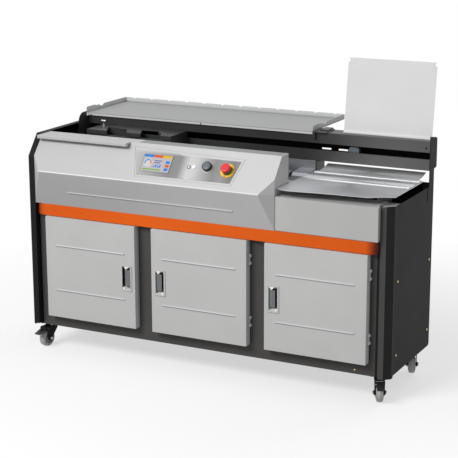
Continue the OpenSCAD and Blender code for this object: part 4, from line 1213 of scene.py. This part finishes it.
@dataclass
class Doors:
    """The three doors and their pin hinges."""

    doors: tuple[Door, ...] = (Door(0, "left"), Door(1, "middle"), Door(2, "right"))
    hinge_inset: float = 2.0
    hinge_y: float = -6.5
    hinge_z: Point = (234.0, 489.0)
    hinge_length: float = 42.0
    cap: tuple[Ring, ...] = ((4.4, 0.0, 0), (4.4, 1.0, 0), (3.2, 2.2, 0), (1.4, 2.8, 0))
    cap_steps: int = 24

    def dress(self) -> None:
        """Gives the doors and the hinges their finishes."""
        for door in self.doors:
            door.dress()
        # The hinges take the flank's coat, lighter than the door's as painted light.
        dress(["door_hinges"], "flank_painted_light_powder_coat")

    def build(self) -> None:
        """Builds the doors and the caps of the hinge pins, at the side away from each handle."""
        for door in self.doors:
            door.build()
        # The pin caps take the flank's coat too, lighter than the door's as painted light.
        caps = Piece("hinge_pin_caps", Body.BASE.value, "steel", "flank_painted_light_powder_coat")
        for door in self.doors:
            x = door.left() + (door.width - self.hinge_inset if door.index else self.hinge_inset)
            for z in self.hinge_z:
                caps.rings(at(x, self.hinge_y, z + self.hinge_length), self.cap, self.cap_steps)
                caps.rings(at(x, self.hinge_y, z, Facing.DOWN), self.cap, self.cap_steps)
        caps.place()


@dataclass
class Casters:
    """Swivel casters with their hubs, nuts and plate bolts."""

    places: tuple[tuple[str, float, float, float], ...] = (
        # name, X and Y of the swivel, turn in degrees
        ("front_left", -768.0, 46.0, -6.0),
        ("front_right", 745.0, 46.0, 24.0),
        ("rear_left", -768.0, 414.0, 12.0),
        ("rear_right", 745.0, 414.0, 20.0),
    )
    trail: float = 27.0
    axle_z: float = 37.5
    cheek_x: float = 23.5
    hub_x: float = 13.4
    nut: tuple[Ring, ...] = ((6.8, 0.0, 6), (6.8, 3.0, 6), (5.6, 3.6, 0), (3.0, 3.6, 0), (3.0, 4.6, 0))
    hub_rim: tuple[Point, ...] = ((20.5, 0.0), (25.0, 0.0), (25.0, 1.2), (23.0, 1.7), (20.5, 1.2))
    hub_cap: tuple[Point, ...] = ((7.0, 0.0), (11.5, 0.0), (11.5, 1.4), (7.0, 1.4))
    rounding: float = 0.3
    plate_z: float = 101.0
    bolt: tuple[Ring, ...] = ((5.0, 0.0, 6), (5.0, 3.0, 6), (4.0, 3.6, 0))
    bolt_x: Point = (-24.0, 24.0)
    bolt_y: Point = (-28.0, 28.0)

    def dress(self) -> None:
        """Gives the casters' solids their finishes."""
        dress(["caster_plates"], "graphite_powder_coat", Edge.FOLDED)
        for name, *_ in self.places:
            dress([f"fork_{name}"], "graphite_powder_coat", Edge.FOLDED)
            dress([f"wheel_{name}"], "grey_polyurethane_tread")
        dress(["brake_pedal_left", "brake_pedal_right"], "black_abs", Edge.PANEL)

    def build(self) -> None:
        """Builds nuts, hub rings and plate bolts."""
        bolts = Piece("caster_plate_bolts", Body.BASE.value, "steel", "zinc_plated_steel")
        for name, x, y, turn in self.places:
            axle = shifted(at(x, y, 0) @ turned(turn, "Z"), 0, -self.trail, self.axle_z)
            nuts = Piece(f"axle_nuts_{name}", f"caster_{name}", "steel", "zinc_plated_steel", self.rounding)
            wheel = f"wheel_{name}_body"
            hubs = Piece(f"wheel_hubs_{name}", wheel, "black", "black_nylon_hub", self.rounding)
            for facing, sign in ((Facing.RIGHT, 1), (Facing.LEFT, -1)):
                nuts.rings(shifted(axle, sign * self.cheek_x, 0) @ facing.turn(), self.nut)
                for profile in (self.hub_rim, self.hub_cap):
                    hubs.hoop(shifted(axle, sign * self.hub_x, 0) @ facing.turn(), profile)
            nuts.place()
            hubs.place()
            for dx in self.bolt_x:
                for dy in self.bolt_y:
                    bolts.rings(at(x + dx, y + dy, self.plate_z, Facing.DOWN), self.bolt)
        bolts.place()


@dataclass
class Beams:
    """The two beams with their back plate, brackets, rods, tray and rack."""

    rear_y: float = 486.0
    rear_rows: Point = (852.0, 945.0)
    rear_first_x: float = -740.0
    rear_pitch: float = 210.0
    rear_columns: int = 8
    rear_bolt: tuple[Ring, ...] = ((5.5, 0.0, 6), (5.5, 3.2, 6), (4.4, 3.8, 0))
    tray_lip_y: float = 395.0
    tray_marks: tuple[Point, ...] = ((-213.2, 951.8), (-753.7, 951.0))
    tray_rivet: tuple[Ring, ...] = ((3.2, 0.0, 0), (3.0, 0.5, 0), (2.0, 0.9, 0))
    rivet_steps: int = 24
    window_x: Point = (326.0, 400.0)
    window_z: tuple[Point, ...] = ((866.2, 6.2), (879.4, 4.4))  # foot and height of the two sills
    sill_in: float = 1.5
    sill_size: Point = (43.0, 2.6)

    def dress(self) -> None:
        """Gives the beams, the tray and the rack their finishes."""
        dress(["upper_beam", "lower_beam"], "beam_powder_coat", Edge.FOLDED)
        dress(["rail_backplate"], "graphite_powder_coat")
        dress(["beam_support", "tray_brackets"], "beam_powder_coat", Edge.PRESSED)
        dress(["carriage_rails"], "ground_shaft_steel")
        dress(["travel_stop"], "slate_abs", Edge.PANEL)
        dress(["book_tray"], "tray_powder_coat", Edge.PRESSED)
        dress(["cover_rack"], "rack_powder_coat", Edge.PRESSED)

    def build(self) -> None:
        """Builds the fasteners on the beams and the tray, and the sills of the two windows."""
        rear = Piece("beam_rear_bolts", Body.BASE.value, "steel", "zinc_plated_steel")
        for k in range(self.rear_columns):
            for z in self.rear_rows:
                x = self.rear_first_x + k * self.rear_pitch
                rear.rings(at(x, self.rear_y, z, Facing.REAR), self.rear_bolt)
        rear.place()
        marks = Piece("tray_lip_rivets", Body.BASE.value, "black", "black_abs")
        for x, z in self.tray_marks:
            marks.rings(at(x, self.tray_lip_y, z, Facing.FRONT), self.tray_rivet, self.rivet_steps)
        marks.place()
        sills = Piece("window_sills", Body.BASE.value, "dark", "graphite_powder_coat")
        for x in self.window_x:
            for z, height in self.window_z:
                sills.block(at(x, self.rear_y - self.sill_in, z), *self.sill_size, height)
        sills.place()


@dataclass
class Carriage:
    """Clamp carriage with its jaws and the clamping screw."""

    screws_x: tuple[float, ...] = (-640.0, -560.0, -320.0)
    screw_y: float = 388.0
    screw_head: Point = (5.0, 3.0)
    top_z: float = 915.0
    jaw_x: Point = (-674.0, -296.0)
    jaw_y: float = 326.0
    pads_z: tuple[float, ...] = (820.0, 827.0, 834.0, 841.0)
    pad_size: Point = (3.5, 0.8)

    def dress(self) -> None:
        """Gives the carriage its finishes."""
        dress(["clamp_carriage"], "carriage_powder_coat", Edge.FOLDED)
        dress(["front_jaw"], "blackened_jaw_steel", Edge.FOLDED)
        dress(["jaw_t_screw"], "bright_nickel")

    def build(self) -> None:
        """Builds the screws of the cover plate and the grip pads of the fixed jaw."""
        heads = Piece("carriage_screws", Body.CARRIAGE.value, "black", "black_abs")
        for x in self.screws_x:
            heads.screw(at(x, self.screw_y, self.top_z), self.screw_head)
        heads.place()
        pads = Piece("jaw_grip_pads", Body.CARRIAGE.value, "steel", "ground_bar_steel")
        left, right = self.jaw_x
        for z in self.pads_z:
            pads.block(at((left + right) / 2, self.jaw_y, z, Facing.FRONT), right - left, *self.pad_size)
        pads.place()


@dataclass
class Stations:
    """Spine cutter, glue tank and the covers round them."""

    cutter: Spot = (-120.0, 300.0, 796.0)
    cutter_radius: float = 62.0
    teeth: int = 12
    first_tooth: float = 0.62
    tooth_in: float = 7.0
    tooth_rise: float = 7.6
    tooth_size: Spot = (9.0, 5.0, 1.6)
    tooth_round: float = 0.2
    nut_rise: float = 12.0
    nut: tuple[Ring, ...] = ((11.0, 0.0, 6), (11.0, 6.0, 6), (8.5, 7.0, 0))
    nut_round: float = 0.3
    # A dark sheet that stands for the shade in front of the nip unit's lower part.
    nip_shade_x: Point = (131.0, 240.0)
    nip_shade_y: float = 403.6
    nip_shade_z: Point = (604.0, 775.0)
    nip_shade_sheet: float = 0.6

    def dress(self) -> None:
        """Gives the stations their finishes."""
        dress(["cutter_disc"], "turned_steel")
        dress(["cutter_motor", "glue_tank"], "cast_aluminium")
        dress(["glue_roller_front", "glue_roller_rear"], "turned_steel")
        dress(["nip_unit_cover"], "satin_cover_steel", Edge.FOLDED)

    def build(self) -> None:
        """Builds the cutter's hard tips, its nut and a dark sheet of painted shade in front of the nip unit's
        lower part.
        """
        # painted shade: a dark sheet where the nip unit's lower part lies in shade
        front_sheet = Piece("nip_unit_painted_shade", Body.BASE.value, "dark", "graphite_powder_coat")
        corners = box_outline(self.nip_shade_x[0], self.nip_shade_z[0], self.nip_shade_x[1], self.nip_shade_z[1])
        front_sheet.panel([(x, self.nip_shade_y, z) for x, z in corners], self.nip_shade_sheet).place()
        x, y, z = self.cutter
        tips = Piece("cutter_tips", Body.CUTTER.value, "steel", "bright_nickel", self.tooth_round)
        for k in range(self.teeth):
            around = turned(360 * (k + self.first_tooth) / self.teeth, "Z")
            seat = shifted(at(x, y, z + self.tooth_rise) @ around, self.cutter_radius - self.tooth_in, 0)
            tips.block(seat, *self.tooth_size)
        tips.place()
        nut = Piece("cutter_nut", Body.CUTTER.value, "black", "zinc_plated_steel", self.nut_round)
        nut.rings(at(x, y, z + self.nut_rise), self.nut).place()


@dataclass
class CoverTable:
    """Polished cover table with the two nip plates and the rear ramp."""

    table_screws: tuple[Point, ...] = ((452.0, 136.0), (647.0, 131.0))
    table_z: float = 808.0
    nip_screws: tuple[Point, ...] = ((677.0, 240.0), (372.0, 245.0))
    nip_z: float = 811.3
    screw_head: Point = (3.9, 1.6)
    screw_sunk: float = 1.5
    sheet: float = 2.0
    edge_round: float = 0.3
    left_x: float = 331.0
    right_x: float = 794.0
    right_y: Point = (40.0, 352.0)
    front: tuple[Point, ...] = (
        (331.0, -12.0),
        (343.0, -24.0),
        (364.0, -31.0),
        (392.0, -33.0),
        (430.0, -29.0),
        (500.0, -20.0),
        (573.0, -14.0),
        (702.0, -9.0),
        (744.0, 22.0),
    )
    slot_x: Point = (344.0, 778.0)
    slot_y: Point = (297.0, 303.0)
    leg_x: Point = (420.0, 690.0)
    leg_y: Point = (120.0, 280.0)
    leg_z: float = 603.0
    leg_sheet: float = 3.0

    def dress(self) -> None:
        """Gives the plates their finishes."""
        dress(["table_plate"], "polished_sheet_steel", Edge.CUT)
        dress(["rear_ramp", "nip_plate_front", "nip_plate_rear"], "ground_bar_steel", Edge.PRESSED)

    def build(self) -> None:
        """Builds the table's sheet and the sunk screws of the table and of the moving nip plate."""
        self.table()
        for name, body, spots, top in (
            ("table_screws", Body.BASE, self.table_screws, self.table_z),
            ("nip_plate_screws", Body.NIP_FRONT, self.nip_screws, self.nip_z),
        ):
            heads = Piece(name, body.value, "black", "black_abs")
            for x, y in spots:
                heads.screw(at(x, y, top - self.screw_sunk), self.screw_head)
            heads.place()

    def table(self) -> None:
        """Table sheet with its drawn-out front corner, its spine slot and its legs."""
        slot_left, slot_right = self.slot_x
        slot_front, slot_rear = self.slot_y
        start, back = self.right_y
        low = self.table_z - self.sheet
        front_sheet = [*self.front, (self.right_x, start), (self.right_x, slot_front), (self.left_x, slot_front)]
        table = Piece("table_sheet", Body.BASE.value, "steel", "polished_sheet_steel", self.edge_round)
        for outline in (
            front_sheet,
            box_outline(self.left_x, slot_rear, self.right_x, back),
            box_outline(self.left_x, slot_front, slot_left, slot_rear),
            box_outline(slot_right, slot_front, self.right_x, slot_rear),
        ):
            table.slab(at(0, 0, low), outline, self.sheet)
        near, far = self.leg_y
        for x in self.leg_x:
            table.slab(at(0, 0, self.leg_z), box_outline(x, near, x + self.leg_sheet, far), low - self.leg_z)
        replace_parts(table.place(), "table_plate")


@dataclass
class Console:
    """Light console with its control panel, screen, lamps and push buttons."""

    ridge: Point = (41.0, 924.0)
    slope_degrees: float = 50.236
    slope_length: float = 178.2
    plate_out: float = 1.05
    # Left end, right end and depth of the painted shade on the ridge.
    ridge_shade: Spot = (-308.0, 324.0, 56.0)
    ridge_shade_in: float = 0.6
    ridge_shade_sheet: float = 0.4
    ridge_shade_round: float = 0.2
    # Strip of painted highlight along the fold under the slope.
    fold_x: Point = (-731.0, 281.0)
    fold_up: float = 3.4
    fold_out: float = -0.1
    fold_size: Point = (3.6, 0.3)
    lower_lean: float = 17.9
    band_edge: Point = (-26.5, 643.0)
    rib_x: Point = (-599.0, 157.0)
    rib_sheet: float = 0.25
    # Strips of painted highlight and painted shade on the rib below the slope.
    rib_strips: tuple[tuple[str, str, float, float, float], ...] = (
        # piece, finish, lower and upper edge along the face, how far out
        ("console_rib_painted_highlight", "painted_highlight_powder_coat", 66.2, 69.4, 2.5),
        ("console_rib_painted_shade", "painted_shade_powder_coat", 62.9, 65.4, 1.6),
    )
    key_lamp: Point = (-48.7, 88.2)
    lamp_rim: tuple[Point, ...] = ((4.4, 0.0), (8.0, 0.0), (8.0, 1.0), (7.0, 2.2), (5.0, 2.4), (4.4, 1.6))
    lamp_lens: tuple[Ring, ...] = ((4.3, 0.0, 0), (4.3, 1.6, 0), (3.4, 2.6, 0), (1.6, 3.1, 0))
    lens_steps: int = 28
    start: Point = (33.0, 82.0)
    start_trim: tuple[Point, ...] = ((20.6, 0.0), (24.0, 0.0), (24.0, 1.0), (22.8, 2.0), (20.6, 2.2))
    start_out: float = 18.0
    start_face: tuple[Ring, ...] = (
        (15.5, 0.0, 0),
        (15.5, 0.4, 0),
        (14.2, 1.0, 0),
        (9.0, 1.3, 0),
        (3.0, 1.4, 0),
    )
    start_steps: int = 40
    estop: Point = (122.0, 88.0)
    skirt: tuple[Point, ...] = ((15.2, 3.6), (21.0, 3.6), (21.0, 5.2), (19.8, 11.6), (15.2, 12.0))
    arrows: int = 3
    first_arrow: float = -100.0
    arrow_radius: float = 25.5
    arrow_out: float = 3.55
    arrow_outline: tuple[Point, ...] = ((-2.6, -4.0), (2.6, -4.0), (0.0, 4.5))
    arrow_print: float = 0.15
    screen_corner: Point = (-262.0, 126.0)
    screen_size: Point = (132.0, 80.0)
    screen_edge: float = 3.4
    glass_out: float = 2.05
    tile_sheet: float = 0.12
    bar_height: float = 11.0
    key_x: Point = (22.0, 4.0)  # from the picture's right edge
    key_rows: Spot = (6.0, 22.0, 38.0)
    key_height: float = 12.0
    gauge: Spot = (24.0, 36.0, 19.0)  # centre, and radius of the pale card behind it
    card_steps: int = 28
    gauge_ring: Point = (11.0, 16.0)
    gauge_blue: Point = (200.0, 60.0)
    gauge_orange: Point = (50.0, -20.0)
    gauge_steps: int = 16
    row_x: float = 52.0
    rows: tuple[Point, ...] = ((46.0, 34.0), (37.0, 26.0))  # height and length of each line
    row_height: float = 3.5
    plot_bars: tuple[float, ...] = (3.0, 8.0, 5.0, 10.0)
    plot_pitch: float = 9.0
    plot_width: float = 6.0
    plot_z: Point = (18.0, 22.0)
    progress: tuple[float, float, float, float] = (6.0, 5.0, 88.0, 10.0)

    def on_slope(self, x: float, down: float, out: float = 0.0) -> Matrix:
        """Place on the console slope, down from its upper edge, with Y up the slope and Z out of it."""
        y, z = self.ridge
        return shifted(at(0, y, z) @ turned(self.slope_degrees, "X"), x, -down, out)

    def dress(self) -> None:
        """Gives the console and its controls their finishes."""
        dress(["console_cover"], "console_powder_coat", Edge.CASE)
        dress(["control_plate"], "brushed_panel_foil")
        dress(["touch_screen"], "grey_abs", Edge.PRESSED)
        dress(["estop_collar"], "yellow_abs", Edge.PRESSED)
        dress(["estop_head"], "red_abs")
        dress(["start_button"], "black_abs", Edge.PANEL)
        dress(["power_button"], "lamp_lens_polycarbonate", Edge.FOLDED)

    def build(self) -> None:
        """Builds the screen's picture, the painted highlight and shade lines on the folds, the painted shade
        on the ridge, the lamp and the trims of the buttons.
        """
        self.picture()
        self.face_lines()
        self.paint_ridge_shade()
        lamp = self.on_slope(*self.key_lamp, self.plate_out)
        Piece("key_lamp_rim", Body.BASE.value, "black", "brown_abs").hoop(lamp, self.lamp_rim).place()
        lens = Piece("key_lamp_lens", Body.BASE.value, "light", "lamp_lens_polycarbonate")
        lens.rings(lamp, self.lamp_lens, self.lens_steps).place()
        button = self.on_slope(*self.start, self.plate_out)
        Piece("start_button_trim", Body.BASE.value, "light", "pale_abs").hoop(button, self.start_trim).place()
        face = Piece("start_button_face", Body.START.value, "grey", "slate_abs")
        cap = shifted(button, 0, 0, self.start_out - self.plate_out)
        face.rings(cap, self.start_face, self.start_steps).place()
        self.estop_trim()

    def face_lines(self) -> None:
        """Painted highlight on the fold under the slope, and painted highlight on the crest and painted shade
        on the foot of the rib below it.
        """
        left, right = self.fold_x
        middle = self.on_slope((left + right) / 2, self.slope_length - self.fold_up, self.fold_out)
        fold = Piece("console_fold_painted_highlight", Body.BASE.value, "grey", "painted_highlight_powder_coat")
        fold.block(middle, right - left, *self.fold_size).place()
        lean = math.radians(self.lower_lean)
        run, rise = math.sin(lean), math.cos(lean)
        x0, x1 = self.rib_x
        y0, z0 = self.band_edge
        for name, finish_name, low, high, out in self.rib_strips:
            corners = []
            for x, up in box_outline(x0, low, x1, high):
                corners.append((x, y0 - up * run - out * rise, z0 + up * rise - out * run))
            Piece(name, Body.BASE.value, "grey", finish_name).panel(corners, self.rib_sheet).place()

    def paint_ridge_shade(self) -> None:
        """Painted shade: a thin, darker sheet on the top edge behind the slope, right of the lifting ledge."""
        y, z = self.ridge
        left, right, depth = self.ridge_shade
        ridge_shade = Piece("console_ridge_painted_shade", Body.BASE.value, "grey", "shaded_powder_coat", self.ridge_shade_round)
        ridge_shade.slab(at(0, y + self.ridge_shade_in, z), box_outline(left, 0, right, depth), self.ridge_shade_sheet).place()

    def estop_trim(self) -> None:
        """Green skirt under the red head and the turning arrows on the yellow disc."""
        centre = self.on_slope(*self.estop)
        Piece("estop_skirt", Body.BASE.value, "grey", "green_abs").hoop(centre, self.skirt).place()
        arrows = Piece("estop_arrows", Body.BASE.value, "black", "black_abs")
        for k in range(self.arrows):
            around = turned(self.first_arrow + 360 * k / self.arrows, "Z")
            spot = shifted(centre @ around, self.arrow_radius, 0, self.arrow_out)
            arrows.slab(spot, self.arrow_outline, self.arrow_print)
        arrows.place()

    def picture(self) -> None:
        """A plain machine menu: a status bar, a gauge, three keys, a small plot and a progress bar."""
        width, height = self.screen_size
        left, low = self.screen_edge, self.screen_edge
        right, high = width - self.screen_edge, height - self.screen_edge
        bar = high - self.bar_height
        third = (right - left) / 3
        bars = [[box_outline(left + k * third, bar, left + (k + 1) * third, high)] for k in range(3)]
        key_left, key_right = (right - inset for inset in self.key_x)
        keys = [box_outline(key_left, low + z, key_right, low + z + self.key_height) for z in self.key_rows]
        x, y, card = self.gauge
        x, y = left + x, low + y
        line_x = left + self.row_x
        rows = [box_outline(line_x, low + z, line_x + w, low + z + self.row_height) for z, w in self.rows]
        foot, top = (low + z for z in self.plot_z)
        plot = []
        for k, tall in enumerate(self.plot_bars):
            bar_x = line_x + k * self.plot_pitch
            plot.append(box_outline(bar_x, foot, bar_x + self.plot_width, top + tall))
        x0, y0, x1, y1 = self.progress
        for name, finish_name, layer, outlines in (
            ("screen_ground", "display_ground", 1, [box_outline(left, low, right, high)]),
            ("screen_bar_blue", "display_blue", 2, bars[0]),
            ("screen_bar_orange", "display_orange", 2, bars[1]),
            ("screen_bar_yellow", "display_yellow", 2, bars[2]),
            ("screen_cards", "display_panel", 2, [arc(x, y, card, 0, 360, self.card_steps)[:-1]]),
            ("screen_keys_blue", "display_blue", 2, keys[::2]),
            ("screen_key_orange", "display_orange", 2, keys[1:2]),
            ("screen_gauge", "display_blue", 3, [self.gauge_part(x, y, *self.gauge_blue)]),
            ("screen_gauge_rest", "display_orange", 3, [self.gauge_part(x, y, *self.gauge_orange)]),
            ("screen_rows", "display_deep_blue", 2, rows),
            ("screen_plot", "display_blue", 2, plot),
            ("screen_progress", "display_green", 2, [box_outline(left + x0, low + y0, left + x1, low + y1)]),
        ):
            corner = self.on_slope(*self.screen_corner, self.glass_out + self.tile_sheet * (layer - 1))
            tile = Piece(name, Body.BASE.value, "grey", finish_name)
            for outline in outlines:
                tile.slab(corner, outline, self.tile_sheet)
            tile.place()

    def gauge_part(self, x: float, y: float, start: float, end: float) -> list[Point]:
        """Outline of the gauge's ring about a centre, from one angle in degrees to another."""
        inner, outer = (arc(x, y, radius, start, end, self.gauge_steps) for radius in self.gauge_ring)
        return outer + inner[::-1]


def main() -> None:
    """Sets the stage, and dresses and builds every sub-assembly in order."""
    logging.basicConfig(level=logging.INFO, format="%(message)s")
    bpy.context.scene.view_settings.view_transform = "Standard"
    Viewpoint().build()
    Studio().build()
    for part in (Cabinet(), Doors(), Casters(), Beams(), Carriage(), Stations(), CoverTable(), Console()):
        part.dress()
        part.build()
        LOG.info("%s is complete", type(part).__name__)


if __name__ == "__main__":
    main()
